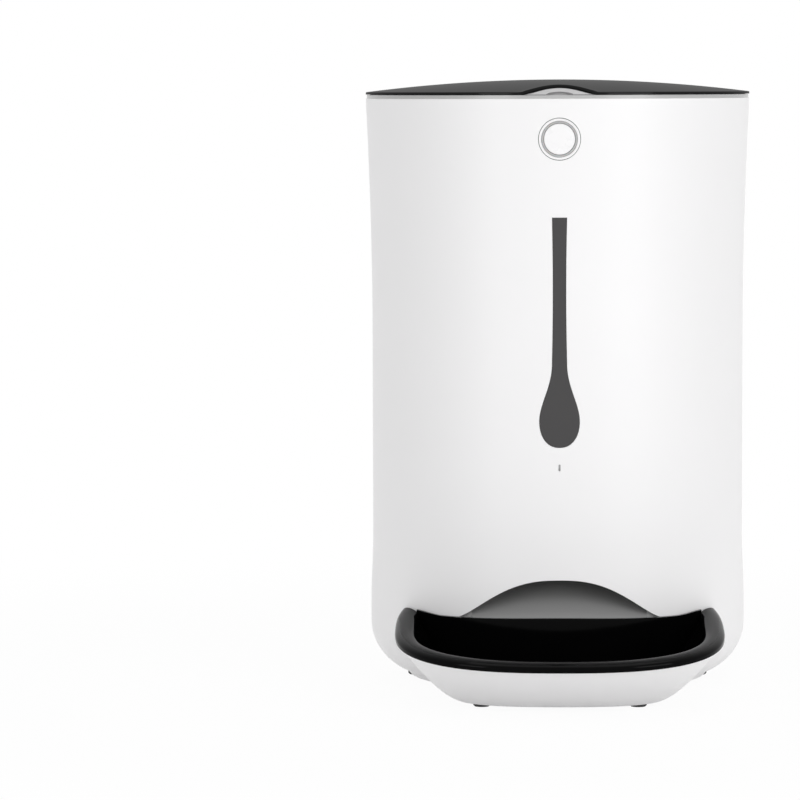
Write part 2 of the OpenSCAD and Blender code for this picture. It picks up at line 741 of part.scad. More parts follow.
// Section of the duct, as radius and height: a cone-shaped floor that falls to a level lip
chute_y0 = -27;
lip_r = hip_r + 0.4;
lip_rise = 3.5;
lip_drop = 2;
duct_far = lip_r + 5;
duct_h = 25;
duct_step = 4;
ear_w = 10;
ear_y = -54;
ear_t = 2.5;
chute_gap = 0.2;
function duct_section(d) = [[-chute_y0 - d, drum_z], [-chute_y0 - d, drum_z - duct_step - d],
  [duct_far, sill_z - lip_drop - d * 1.1], [duct_far, sill_z + duct_h + d], [drum_r, drum_z]];

module duct(d) intersection() {
  rotate_extrude() polygon(duct_section(d));
  block([-chute_half_w - d, -past_wall, 0], [chute_half_w + d, chute_y0 + d, drum_z + over]);
}

module chute() color("gray") at_axis() difference() {
  intersection() {
    union() {
      duct(chute_wall);
      block([-chute_half_w - ear_w, ear_y, drum_z - ear_t], [chute_half_w + ear_w, chute_y0 + 2, drum_z]);
    }
    union() {
      body_solid(wall + chute_gap);
      block([-chute_half_w + gap, -past_wall, 0], [chute_half_w - gap, chute_y0, sill_z + lip_rise]);
    }
    cylinder(r = lip_r, h = drum_z);
  }
  duct(0);
}

module drum_screws() color("silver") at_axis()
  for (p = flange_screw_at) translate([p[0], p[1], drum_top - flange_t - small_head_h])
    screw(flange_screw_r, flange_screw_len, small_head_h);

// Height of the lid's dome at radius r
function dome_z(r) = total_h - dome_r + sqrt(dome_r * dome_r - r * r);
lid_z0 = deck_top + gap;
lid_rim_w = 2.5;
lid_edge_in = 1.2;
brow_half_w = 29;
brow_h = 6.3;
brow_len = 35;
brow_in = top_r - brow_len;
brow_back = 0.3;
notch_half_w = 23;
notch_h = 4.8;
notch_len = 11;
notch_in = top_r - notch_len;

// Solid under the lid's dome, out to radius r and down to height z0
dome_steps = 6;
module dome(r, z0) rotate_extrude() polygon(concat([[0, z0], [r, z0], [r, dome_z(r) - 1]],
  [for (i = [0:dome_steps]) let (u = (r - lid_edge_in) * (1 - i / dome_steps)) [u, dome_z(u)]]));

module knuckle(x0, x1, bore) translate([x0, pin_y, pin_z]) rotate([0, 90, 0]) difference() {
  cylinder(r = knuckle_r, h = x1 - x0);
  translate([0, 0, -1]) cylinder(r = bore, h = x1 - x0 + 2);
}

// One leaf of the hinge: a knuckle with the web that joins it to the piece beside it
module hinge_leaf(x0, x1, y, z0, z1, bore) difference() {
  union() {
    knuckle(x0, x1, bore);
    block([x0, min(y, pin_y), z0], [x1, max(y, pin_y), z1]);
  }
  translate([x0 - 1, pin_y, pin_z]) rotate([0, 90, 0]) cylinder(r = bore, h = x1 - x0 + 2);
}

leaf_x0 = 14;
leaf_x1 = 40;
end_x1 = 46;
leaf_low = 1.6;
leaf_high = 1.2;
leaf_root = 0.5;
tooth_half_w = 4;
tooth_t = 2;
tooth_edge = 10.4;
tooth_y0 = tooth_edge - top_r;
tooth_y1 = tooth_y0 + tooth_t;
tooth_h = 2;

module lid() color("black") at_axis() {
  difference() {
    union() {
      difference() {
        dome(top_r, lid_z0);
        difference() {
          translate([0, 0, -lid_wall]) dome(top_r - lid_rim_w, lid_z0);
          block([-past_wall, lid_end_y - lid_wall, 0], [past_wall, past_wall, total_h]);
        }
      }
      intersection() {
        bell_prism(brow_half_w, brow_h, lid_z0, -past_wall, -brow_in);
        cylinder(r = top_r - brow_back, h = total_h);
      }
    }
    bell_prism(notch_half_w, notch_h, lid_z0 - flush, -past_wall, -notch_in);
    block([-past_wall, lid_end_y, 0], [past_wall, past_wall, total_h + over]);
  }
  for (x = [-leaf_x1, leaf_x0])
    hinge_leaf(x, x + leaf_x1 - leaf_x0, lid_end_y - leaf_root,
      pin_z - leaf_low, pin_z + leaf_high, pin_r + run_fit);
  block([-tooth_half_w, tooth_y0, spring_z - tooth_h], [tooth_half_w, tooth_y1, lid_z0 + over]);
}

liner_z = body_top - 1.5;
liner_t = 2;
liner_in = 3;
liner_wall = 2;
seal_in = 0.8;
seal_h = 2;
seal_lift = 0.3;

module lid_liner() color("gainsboro") at_axis() difference() {
  translate([0, 0, liner_z])
    linear_extrude(dome_z(hopper_r) - lid_wall - gap - liner_z) mouth_shape(liner_in);
  translate([0, 0, liner_z + liner_t]) linear_extrude(lid_h + deck_t) mouth_shape(liner_in + liner_wall);
}

module lid_seal() color("silver") at_axis()
  translate([0, 0, liner_z + seal_lift]) linear_extrude(seal_h) difference() {
    mouth_shape(seal_in);
    mouth_shape(liner_in - seat_fit);
  }

cap_t = 2;
cap_collar_h = 4;
cap_slots = 12;
cap_slot_w = 3;
cap_slot_r = [8, desiccant_r - 6];
box_h = 12;
box_wall = 1.6;

module desiccant_box() color("white") at_axis() translate([0, 0, liner_z - box_h]) difference() {
  cylinder(r = desiccant_r, h = box_h);
  translate([0, 0, -1]) cylinder(r = desiccant_r - box_wall, h = box_h - box_wall + 1);
}

module desiccant_cap() color("white") at_axis() translate([0, 0, liner_z - box_h - gap]) difference() {
  union() {
    translate([0, 0, -cap_t]) cylinder(r = desiccant_r, h = cap_t);
    translate([0, 0, -flush]) difference() {
      cylinder(r = desiccant_r - box_wall - gap, h = cap_collar_h);
      translate([0, 0, -over]) cylinder(r = desiccant_r - 2 * box_wall - gap, h = cap_collar_h + 2 * over);
    }
  }
  for (k = [0:cap_slots - 1]) rotate(360 * k / cap_slots)
    block([cap_slot_r[0], -cap_slot_w / 2, -cap_t - over], [cap_slot_r[1], cap_slot_w / 2, over]);
}

latch_half_w = 20;
latch_h = 3.7;
latch_travel = 2;
latch_back = 0.8;
latch_len = 7;
latch_in = top_r - latch_len;
neck_gap = 2 * gap;
hook_gap = 0.6;
hook_side = 1.5;
hook_rear = 0.4;
slider_half_w = 12;
slider_edge = 17;
slider_y1 = slider_edge - top_r;
slider_t = 4;

module latch_button() color("silver") at_axis() difference() {
  union() {
    intersection() {
      bell_prism(latch_half_w, latch_h, deck_top + gap, -past_wall, -latch_in);
      cylinder(r = top_r - latch_back, h = total_h);
    }
    block([-slot_half_w + neck_gap, slot_y0 + neck_gap, body_top - over],
      [slot_half_w - neck_gap, -latch_in, deck_top + over]);
    block([-slider_half_w, slot_y0 + latch_travel, body_top - gap - slider_t],
      [slider_half_w, slider_y1, body_top - gap]);
  }
  block([-tooth_half_w - hook_side, tooth_y0 - latch_travel - hook_gap, 0],
    [tooth_half_w + hook_side, tooth_y1 + hook_rear, body_top + deck_t / 4]);
}

// A coil spring along Y, one unbroken tube
coil_r = 1.6;
wire_r = 0.3;
coil_turns = 5;
coil_steps = 8;
coil_sides = 6;
coil_y0 = slider_y1 + wire_r + seat_fit;
coil_y1 = spring_seat_y - wire_r - seat_fit;
function coil_centre(i) = let (a = 360 * i / coil_steps)
  [coil_r * cos(a), coil_y0 + (coil_y1 - coil_y0) * i / coil_turns / coil_steps, spring_z + coil_r * sin(a)];
function coil_ring(i) = let (a = 360 * i / coil_steps, c = coil_centre(i))
  [for (k = [0:coil_sides - 1]) let (b = 360 * k / coil_sides)
    c + wire_r * [cos(b) * cos(a), sin(b), cos(b) * sin(a)]];
coil_rings = coil_turns * coil_steps + 1;
coil_gap = min([for (i = [0:coil_rings - 1]) for (j = [i + coil_steps - 2:1:coil_rings - 1])
  norm(coil_centre(i) - coil_centre(j)) - 2 * wire_r]);
echo(coil_gap = coil_gap);

module latch_spring() color("silver") at_axis() polyhedron(
  points = [for (i = [0:coil_rings - 1]) each coil_ring(i)],
  faces = concat(
    [[for (k = [coil_sides - 1:-1:0]) k]],
    [for (i = [0:coil_rings - 2]) for (k = [0:coil_sides - 1])
      let (b = i * coil_sides + k, c = i * coil_sides + (k + 1) % coil_sides)
      each [[b, c, c + coil_sides], [b, c + coil_sides, b + coil_sides]]],
    [[for (k = [0:coil_sides - 1]) (coil_rings - 1) * coil_sides + k]]));

cover_y = pin_y + 4.3;
cover_leaf_h = 1;
cover_hole_h = 2.2;

module hinge_cover() color("black") at_axis() difference() {
  union() {
    intersection() {
      dome(top_r, deck_top);
      block([-past_wall, cover_y, 0], [past_wall, past_wall, total_h]);
    }
    for (x = [[-leaf_x0 + gap, leaf_x0 - gap], [-end_x1, -leaf_x1 - gap], [leaf_x1 + gap, end_x1]])
      hinge_leaf(x[0], x[1], cover_y + leaf_root, deck_top, pin_z + cover_leaf_h, pin_r + seat_fit);
  }
  for (p = hinge_screw_at) translate([p[0], p[1], deck_top - over])
    cylinder(r = hinge_screw_r + seat_fit, h = over + cover_hole_h);
}

module hinge_pin() color("silver") at_axis()
  translate([-end_x1, pin_y, pin_z]) rotate([0, 90, 0]) cylinder(r = pin_r, h = 2 * end_x1);

module hinge_screws() color("silver") at_axis()
  for (p = hinge_screw_at) translate([p[0], p[1], body_top - small_head_h])
    screw(hinge_screw_r, small_head_h + deck_t + hinge_screw_hold, small_head_h);

// The feed button and its light ring stand in the bezel, flush with the wall
button_sink = 0.1;
button_face = button_sink - body_r(button_z);
button_t = 2.6;
button_back = button_face + button_t;
stem_wall = 4;
ring_proud = 0.05;
bezel_sink = 0.35;
ring_r = button_r + gap + ring_w;
bezel_flange_w = 2.6;
bezel_flange_r = bezel_r + bezel_flange_w;
bezel_flange_gap = 0.4;
bezel_flange_y = bezel_flange_gap - min(body_r(button_z - bezel_flange_r) - wall,
  sqrt(pow(body_r(button_z) - wall, 2) - pow(bezel_flange_r, 2)));
bezel_flange_t = 2;
panel_gap = 9;
panel_board_y = bezel_flange_y + bezel_flange_t + panel_gap;
panel_board_t = 1.6;
panel_post_x = 11.5;
panel_post_r = 1.8;
panel_half = 14;
switch_h = 4;
switch_half = 3;
plunger_r = 1.7;
plunger_h = 0.8;

module feed_button() color("white") at_axis() {
  rod_y(button_r, button_face, button_back, z = button_z);
  rod_y(button_r - stem_wall, button_back - flush, panel_board_y - switch_h - button_travel - gap,
    z = button_z);
}

module button_light_ring() color("gray") at_axis() difference() {
  rod_y(ring_r, button_face - ring_proud, bezel_flange_y + bezel_flange_t, z = button_z);
  rod_y(button_r + gap, -past_wall, panel_board_y, z = button_z);
}

module button_bezel() color("white") at_axis() difference() {
  union() {
    rod_y(bezel_r, button_face + bezel_sink, bezel_flange_y + flush, z = button_z);
    rod_y(bezel_flange_r, bezel_flange_y, bezel_flange_y + bezel_flange_t, z = button_z);
    for (x = [-panel_post_x, panel_post_x])
      rod_y(panel_post_r, bezel_flange_y + over, panel_board_y, x, button_z);
  }
  rod_y(ring_r + seat_fit, -past_wall, panel_board_y, z = button_z);
}

module button_board() color("seagreen") at_axis()
  block([-panel_half, panel_board_y, button_z - panel_half],
    [panel_half, panel_board_y + panel_board_t, button_z + panel_half]);

module button_switch() color("dimgray") at_axis() {
  block([-switch_half, panel_board_y - switch_h + plunger_h, button_z - switch_half],
    [switch_half, panel_board_y, button_z + switch_half]);
  rod_y(plunger_r, panel_board_y - switch_h, panel_board_y - switch_h / 2, z = button_z);
}

window_flange = 3;
window_flange_t = 1.5;
window_sink = 0.05;
window_over = 0.3;

module drop_window() color("dimgray") at_axis() {
  intersection() {
    wall_layer(window_sink, wall + window_over);
    drop_prism(0);
  }
  intersection() {
    wall_layer(wall + seat_fit, wall + window_flange_t);
    drop_prism(window_flange);
  }
}

// The camera stands behind the widest place of the drop
holder_y0 = -(waist_r - wall - window_flange_t - 2.4);
holder_len = 11;
holder_y1 = holder_y0 + holder_len;
lens_r = 5.5;
lens_wall = 1.2;
lens_sink = 1.6;
lens_proud = 0.6;
glass_proud = 0.2;
glass_round = 9.6;
lamp_sink = 1;
camera_board_t = 1.6;
lamp_r = 2.5;
lamp_x = 9;
holder_half_w = 15;
holder_half_h = 13;

module camera_holder() color("black") at_axis() difference() {
  block([-holder_half_w, holder_y0, drop_z - holder_half_h],
    [holder_half_w, holder_y1, drop_z + holder_half_h]);
  rod_y(lens_r + seat_fit, holder_y0 - over, holder_y1 + over, z = drop_z);
  for (x = [-lamp_x, lamp_x]) rod_y(lamp_r + seat_fit, holder_y0 - over, holder_y1 + over, x, drop_z);
}

module lens_barrel() color("black") at_axis() difference() {
  rod_y(lens_r, holder_y0 - lens_proud, holder_y1, z = drop_z);
  rod_y(lens_r - lens_wall, holder_y0 - over, holder_y0 + lens_sink, z = drop_z);
}

module lens_glass() color("lightblue") at_axis() intersection() {
  rod_y(lens_r - lens_wall - seat_fit, holder_y0 - glass_proud, holder_y0 + lens_sink, z = drop_z);
  translate([0, holder_y0 - glass_proud + glass_round, drop_z]) sphere(r = glass_round);
}

module camera_board() color("seagreen") at_axis()
  block([-holder_half_w, holder_y1, drop_z - holder_half_h],
    [holder_half_w, holder_y1 + camera_board_t, drop_z + holder_half_h]);

module infrared_lamps() color("lavender") at_axis()
  for (x = [-lamp_x, lamp_x]) {
    rod_y(lamp_r, holder_y0 + lamp_sink, holder_y1, x, drop_z);
    translate([x, holder_y0 + lamp_sink, drop_z]) sphere(r = lamp_r);
  }

mic_r = 3;
mic_t = 3;
mic_y = 2 * seat_fit - sqrt(pow(waist_r - wall, 2) - mic_r * mic_r);

module microphone() color("silver") at_axis()
  rod_y(mic_r, mic_y, wall + mic_t + 2 * seat_fit - waist_r, z = mic_z);

speaker_rim_h = 4;
speaker_cone_h = 9;
speaker_h = 14;
magnet_r = 11;

module speaker() color("dimgray") at_axis() translate([speaker_at[0], speaker_at[1], base_top]) {
  cylinder(r = speaker_r, h = speaker_rim_h);
  cylinder(r1 = speaker_r - 1, r2 = magnet_r + 1, h = speaker_cone_h);
  cylinder(r = magnet_r, h = speaker_h);
}

// The main board with a processor, a row of sockets and a radio can, each [x, z, width, height, thickness]
board_t = 1.6;
board_half_w = 33;
processor = [-10, 22, 20, 20, 1.8];
socket_row = [-28, 4, 20, 8, 4.4];
radio_can = [12, 50, 14, 16, 3.4];

module main_board() color("seagreen") at_axis() translate([0, board_y, board_z]) {
  block([-board_half_w, 0, 0], [board_half_w, board_t, board_h]);
  for (c = [processor, socket_row, radio_can])
    translate([c[0], board_t - flush, c[1]]) cube([c[2], c[4] + flush, c[3]]);
}

inlet_r = 5.2;
inlet_z = 62;
inlet_bore_r = 2.75;
inlet_len = 14;
inlet_floor = 3;
inlet_sink = 0.5;
nut_w = 3;
inlet_pin_r = 1;
inlet_pin_sink = 2.5;
inlet_out = body_r(inlet_z);
nut_r = inlet_r + nut_w;
nut_wall_r = min(body_r(inlet_z - nut_r), body_r(inlet_z + nut_r)) - wall;
nut_face = sqrt(pow(nut_wall_r, 2) - pow(nut_r, 2)) - 2 * seat_fit;
nut_t = 5;

module power_inlet() color("black") at_axis() {
  difference() {
    union() {
      rod_y(inlet_r, inlet_out - inlet_len, inlet_out - inlet_sink, z = inlet_z);
      translate([0, nut_face - nut_t, inlet_z]) rotate([-90, 30, 0])
        cylinder(r = nut_r, h = nut_t, $fn = 6);
    }
    rod_y(inlet_bore_r, inlet_out - inlet_len + inlet_floor, past_wall, z = inlet_z);
  }
  rod_y(inlet_pin_r, inlet_out - inlet_len + inlet_floor - over, inlet_out - inlet_pin_sink, z = inlet_z);
}

// The battery box stands on the base plate over the door
box_roof = base_top + 2 * cell_r + 1;
cell_z = box_roof - gap - cell_r;
cell_y = box_y0 + 0.8;
cap_r = 4.5;
contact_half_w = 10;
contact_t = [0.6, 1];
cell_cap_gap = 1.2;

module battery_box() color("white") at_axis() difference() {
  block([-box_half_w - box_t, box_y0 - box_t, base_top],
    [box_half_w + box_t, box_y1 + box_t, box_roof + box_t]);
  block([-box_half_w, box_y0, base_top - 1], [box_half_w, box_y1, box_roof]);
}

module battery_cells() color("orange") at_axis()
  for (k = [-1:1]) {
    rod_y(cell_r, cell_y, cell_y + cell_len, k * cell_pitch, cell_z);
    rod_y(cap_r, cell_y + cell_len - over, box_y1 - cell_cap_gap, k * cell_pitch, cell_z);
  }

module battery_contacts() color("silver") at_axis()
  for (k = [-1:1]) {
    block([k * cell_pitch - contact_half_w, box_y0 + flush, cell_z - contact_half_w],
      [k * cell_pitch + contact_half_w, box_y0 + contact_t[0], cell_z + contact_half_w]);
    block([k * cell_pitch - contact_half_w, box_y1 - contact_t[1], cell_z - contact_half_w],
      [k * cell_pitch + contact_half_w, box_y1 - flush, cell_z + contact_half_w]);
  }

door_sink = 0.2;
grip_ribs = 5;
grip_pitch = 3;
grip_w = 1.2;
grip_half_w = 15;
grip_depth = 0.4;

module battery_door() color("white") at_axis() {
  block([-door_half_w - door_lip + gap, door_y0 + gap, door_z + gap],
    [door_half_w + door_lip - gap, door_y1, door_z + gap + door_t]);
  difference() {
    block([-door_half_w + gap, door_y0 + gap, foot_h + door_sink],
      [door_half_w - gap, door_y1, door_z + gap + flush]);
    for (k = [1:grip_ribs]) translate([0, door_y1 - 2 - grip_pitch * k, 0])
      block([-grip_half_w, 0, 0], [grip_half_w, grip_w, foot_h + door_sink + grip_depth]);
  }
}

housing();
base_tray();
feet();
base_screws();
bowl();
deck();
hopper();
hopper_funnel();
drum();
metering_shield();
rotor();
rotor_shaft();
stirrer();
floor_bush();
lower_bush();
rotor_gear();
motor_pinion();
motor_shaft();
gearbox();
motor_can();
drive_plate();
chute();
drum_screws();
lid();
lid_liner();
lid_seal();
desiccant_box();
desiccant_cap();
latch_button();
latch_spring();
hinge_cover();
hinge_pin();
hinge_screws();
feed_button();
button_light_ring();
button_bezel();
button_board();
button_switch();
drop_window();
camera_holder();
lens_barrel();
lens_glass();
camera_board();
infrared_lamps();
microphone();
speaker();
main_board();
power_inlet();
battery_box();
battery_cells();
battery_contacts();
battery_door();
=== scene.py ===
# %% [markdown]
# # An automatic pet feeder, dressed in Blender
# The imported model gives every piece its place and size. This lesson keeps the pieces whose shape
# is already right, remodels the moulded shells that need smooth curves, and gives each surface a
# procedural finish. All lengths are in metres.

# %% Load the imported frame
import bpy
import bmesh
import json
import math
from mathutils import Euler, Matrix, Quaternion, Vector


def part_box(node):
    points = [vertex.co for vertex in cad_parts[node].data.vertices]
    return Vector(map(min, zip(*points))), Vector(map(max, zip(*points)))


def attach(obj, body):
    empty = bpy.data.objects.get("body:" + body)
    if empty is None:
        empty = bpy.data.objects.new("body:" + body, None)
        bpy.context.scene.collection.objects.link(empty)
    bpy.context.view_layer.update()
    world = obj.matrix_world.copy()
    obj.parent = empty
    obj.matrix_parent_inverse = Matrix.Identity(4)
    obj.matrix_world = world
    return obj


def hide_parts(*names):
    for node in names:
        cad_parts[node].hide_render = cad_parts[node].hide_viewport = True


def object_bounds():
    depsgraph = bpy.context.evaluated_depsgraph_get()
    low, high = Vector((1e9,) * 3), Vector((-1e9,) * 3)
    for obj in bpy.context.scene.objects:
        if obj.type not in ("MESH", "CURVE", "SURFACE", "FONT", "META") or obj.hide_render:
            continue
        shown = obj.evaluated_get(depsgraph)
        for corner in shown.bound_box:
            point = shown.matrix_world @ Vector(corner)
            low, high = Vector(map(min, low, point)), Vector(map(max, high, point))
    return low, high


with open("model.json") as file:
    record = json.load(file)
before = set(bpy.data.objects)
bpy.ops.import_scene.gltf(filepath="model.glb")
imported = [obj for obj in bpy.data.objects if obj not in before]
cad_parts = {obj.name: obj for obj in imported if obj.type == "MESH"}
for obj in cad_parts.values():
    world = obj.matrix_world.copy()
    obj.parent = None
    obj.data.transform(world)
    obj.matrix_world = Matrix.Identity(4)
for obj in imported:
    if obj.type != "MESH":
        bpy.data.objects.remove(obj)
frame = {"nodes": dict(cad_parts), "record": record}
nodes = frame["nodes"]
cad_box = [list(corner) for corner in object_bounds()]
MM = 0.001
deck_low, deck_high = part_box("deck")
AXIS_Y = (deck_low.y + deck_high.y) / 2
print("body axis at y =", round(AXIS_Y, 4), "with", len(nodes), "CAD pieces")

# %% [markdown]
# ## Camera
# The picture is a long-lens product shot from the height of the lid. The horizon lies near the top
# of the picture and the feeder stands right of the middle. A shifted lens could give that, but then
# views from other sides would be off centre, so the camera is turned a little down and to the left
# instead. A very small lean follows the picture's own.

# %% Camera at the photograph's angle
PICTURE = 800
FOCAL_PX = 4205
AXIS_PX = 557.7
HORIZON_PX = 79.9
SENSOR = 36
CAMERA_BACK = 2.534
CAMERA_LEFT = 0.030
EYE_LEVEL = 0.360
LEAN = math.radians(0.17)

scene = bpy.context.scene
camera_data = bpy.data.cameras.new("photo_camera")
camera_data.sensor_width = SENSOR
camera_data.lens = FOCAL_PX * SENSOR / PICTURE
camera = bpy.data.objects.new("photo_camera", camera_data)
scene.collection.objects.link(camera)
camera.location = (-CAMERA_LEFT, AXIS_Y - CAMERA_BACK, EYE_LEVEL)
pitch = math.atan((PICTURE / 2 - HORIZON_PX) / FOCAL_PX)
yaw = math.atan((AXIS_PX - PICTURE / 2) / FOCAL_PX) - math.atan(CAMERA_LEFT / CAMERA_BACK)
aim = Euler((math.pi / 2 - pitch, 0, yaw)).to_quaternion()
camera.rotation_euler = (aim @ Quaternion((0, 0, 1), -LEAN)).to_euler()
scene.camera = camera
print("lens", round(camera_data.lens, 1), "mm, pitch", round(math.degrees(pitch), 2), "degrees")

# %% [markdown]
# ## Studio
# The feeder stands on a plain white sweep. The sweep could be lit until it is white, but that light
# would fall on the feeder too. So rays that come straight from the camera, by reflection or through
# glass see the surroundings as white, and the rest of the light stays at a plain level.

# %% World
FILL_LIGHT = 0.45
WHITE = (1, 1, 1, 1)
scene.view_settings.view_transform = "Standard"


def white_for_camera(tree):
    """Returns a socket that is 1 for camera, glossy and transmission rays."""
    path = tree.nodes.new("ShaderNodeLightPath")
    first = tree.nodes.new("ShaderNodeMath")
    first.operation = "MAXIMUM"
    second = tree.nodes.new("ShaderNodeMath")
    second.operation = "MAXIMUM"
    tree.links.new(path.outputs["Is Camera Ray"], first.inputs[0])
    tree.links.new(path.outputs["Is Glossy Ray"], first.inputs[1])
    tree.links.new(first.outputs[0], second.inputs[0])
    tree.links.new(path.outputs["Is Transmission Ray"], second.inputs[1])
    return second.outputs[0]


world = bpy.data.worlds.new("studio")
scene.world = world
world.use_nodes = True
sky = world.node_tree
fill = sky.nodes["Background"]
fill.inputs["Color"].default_value = WHITE
fill.inputs["Strength"].default_value = FILL_LIGHT
backdrop = sky.nodes.new("ShaderNodeBackground")
backdrop.inputs["Color"].default_value = WHITE
choose = sky.nodes.new("ShaderNodeMixShader")
sky.links.new(white_for_camera(sky), choose.inputs["Fac"])
sky.links.new(fill.outputs[0], choose.inputs[1])
sky.links.new(backdrop.outputs[0], choose.inputs[2])
sky.links.new(choose.outputs[0], sky.nodes["World Output"].inputs["Surface"])
print("world fill at", FILL_LIGHT)

# %% [markdown]
# Small lamps would draw hard spots on the satin shell, so the lamps are large soft boxes. Two stand in
# front, one on each side, and one hangs overhead. A weak one behind lifts the edges of the shell. It is
# hidden from reflections, because the lid, seen along its face, would mirror it and turn grey.

# %% Soft boxes
MIDDLE = (0, AXIS_Y, 0.2)


def soft_box(name, place, width, height, watts):
    """A rectangular soft box that faces the middle of the feeder."""
    data = bpy.data.lights.new(name, "AREA")
    data.shape = "RECTANGLE"
    data.size = width
    data.size_y = height
    data.energy = watts
    lamp = bpy.data.objects.new(name, data)
    scene.collection.objects.link(lamp)
    lamp.location = place
    lamp.rotation_euler = (Vector(MIDDLE) - Vector(place)).to_track_quat("-Z", "Y").to_euler()
    return lamp


soft_box("key_box", (1.6, -1.7, 0.8), width=1.2, height=1.6, watts=22)
soft_box("side_box", (-1.4, -1.8, 0.8), width=0.8, height=1.6, watts=13)
soft_box("top_box", (0.1, 0.0, 2.2), width=1.6, height=1.6, watts=12)
back_box = soft_box("back_box", (0.0, 2.3, 1.0), width=1.2, height=1.2, watts=11)
back_box.visible_glossy = False

# %% [markdown]
# The floor is one large sheet of matt paper. It could glow white all over, but then the feeder would
# seem to float. So it keeps a trace of its own shading near the feeder, where the contact shadow lies,
# and clears to the backdrop's white further out.

# %% Floor
FLOOR_HALF = 30
PAPER = (0.88, 0.88, 0.88, 1)
PAPER_ROUGH = 0.9
SWEEP_GLOW, CLEAR_FROM, CLEAR_AT = 0.95, 0.30, 0.75
corners = [(x * FLOOR_HALF, y * FLOOR_HALF, 0) for x, y in ((-1, -1), (1, -1), (1, 1), (-1, 1))]
floor_mesh = bpy.data.meshes.new("studio_floor")
floor_mesh.from_pydata(corners, [], [(0, 1, 2, 3)])
floor = bpy.data.objects.new("studio_floor", floor_mesh)
scene.collection.objects.link(floor)
sweep = bpy.data.materials.new("white_sweep")
sweep.use_nodes = True
tree = sweep.node_tree
paper = tree.nodes["Principled BSDF"]
paper.inputs["Base Color"].default_value = PAPER
paper.inputs["Roughness"].default_value = PAPER_ROUGH
paper.inputs["Specular IOR Level"].default_value = 0.0
glow = tree.nodes.new("ShaderNodeEmission")
glow.inputs["Color"].default_value = WHITE
blend = tree.nodes.new("ShaderNodeMixShader")
span = tree.nodes.new("ShaderNodeVectorMath")
span.operation = "LENGTH"
away = tree.nodes.new("ShaderNodeTexCoord")
tree.links.new(away.outputs["Object"], span.inputs[0])
clear = tree.nodes.new("ShaderNodeMapRange")
clear.interpolation_type = "SMOOTHSTEP"
clear.inputs["From Min"].default_value = CLEAR_FROM
clear.inputs["From Max"].default_value = CLEAR_AT
clear.inputs["To Min"].default_value = SWEEP_GLOW
clear.inputs["To Max"].default_value = 1.0
tree.links.new(span.outputs["Value"], clear.inputs["Value"])
share = tree.nodes.new("ShaderNodeMath")
share.operation = "MULTIPLY"
tree.links.new(clear.outputs["Result"], share.inputs[1])
tree.links.new(white_for_camera(tree), share.inputs[0])
tree.links.new(share.outputs[0], blend.inputs["Fac"])
tree.links.new(paper.outputs[0], blend.inputs[1])
tree.links.new(glow.outputs[0], blend.inputs[2])
tree.links.new(blend.outputs[0], tree.nodes["Material Output"].inputs["Surface"])
floor_mesh.materials.append(sweep)
print("floor clears to white between", CLEAR_FROM, "and", CLEAR_AT, "m")

# %% [markdown]
# ## Finishes
# Moulded plastic is never one flat value. The melt cools unevenly, so the tone and the gloss drift
# slowly, and the tool leaves a very fine grain. Pictures could carry that, but noise nodes in object
# coordinates keep it sharp at any distance and need no unwrapping. These helpers wire one noise each.

# %% Helpers for procedural finishes
NOISE_LOW, NOISE_HIGH = 0.3, 0.7
GRAIN_STRENGTH = 0.6


def new_finish(name):
    """A material with its node tree and its Principled shader."""
    material = bpy.data.materials.new(name)
    material.use_nodes = True
    return material, material.node_tree, material.node_tree.nodes["Principled BSDF"]


def place_socket(tree, stretch=(1, 1, 1)):
    """Object coordinates in metres, stretched along the axes."""
    where = tree.nodes.new("ShaderNodeTexCoord")
    mapping = tree.nodes.new("ShaderNodeMapping")
    mapping.inputs["Scale"].default_value = stretch
    tree.links.new(where.outputs["Object"], mapping.inputs["Vector"])
    return mapping.outputs["Vector"]


def noise_socket(tree, scale, detail=3, stretch=(1, 1, 1)):
    """A noise between 0 and 1; scale counts features in a metre."""
    noise = tree.nodes.new("ShaderNodeTexNoise")
    noise.inputs["Scale"].default_value = scale
    noise.inputs["Detail"].default_value = detail
    tree.links.new(place_socket(tree, stretch), noise.inputs["Vector"])
    return noise.outputs["Fac"]


def drive_colour(tree, fac, first, second, target):
    """Drives a colour socket between two colours."""
    mix = tree.nodes.new("ShaderNodeMix")
    mix.data_type = "RGBA"
    mix.inputs[6].default_value = (*first, 1)
    mix.inputs[7].default_value = (*second, 1)
    tree.links.new(fac, mix.inputs[0])
    tree.links.new(mix.outputs[2], target)


def drive_value(tree, fac, low, high, target):
    """Drives a value socket between two values."""
    spread = tree.nodes.new("ShaderNodeMapRange")
    spread.inputs["From Min"].default_value = NOISE_LOW
    spread.inputs["From Max"].default_value = NOISE_HIGH
    spread.inputs["To Min"].default_value = low
    spread.inputs["To Max"].default_value = high
    tree.links.new(fac, spread.inputs["Value"])
    tree.links.new(spread.outputs["Result"], target)


def add_grain(tree, shader, height, depth):
    """Raises the surface by a height pattern of the given depth."""
    bump = tree.nodes.new("ShaderNodeBump")
    bump.inputs["Strength"].default_value = GRAIN_STRENGTH
    bump.inputs["Distance"].default_value = depth
    tree.links.new(height, bump.inputs["Height"])
    tree.links.new(bump.outputs["Normal"], shader.inputs["Normal"])


# %% [markdown]
# One helper makes the whole family of plastics from a colour, a gloss and a grain, and one makes the
# metals. A polished black plastic seen face on is nearly black and only bright along its edges. A clear
# coat of low refraction over a surface without its own shine gives that better than one glossy layer.

# %% Plastic and metal
SLOW_PATCHES, GLOSS_CLOUDS, METAL_MARKS = 14, 60, 500
COAT_ROUGH = 0.08


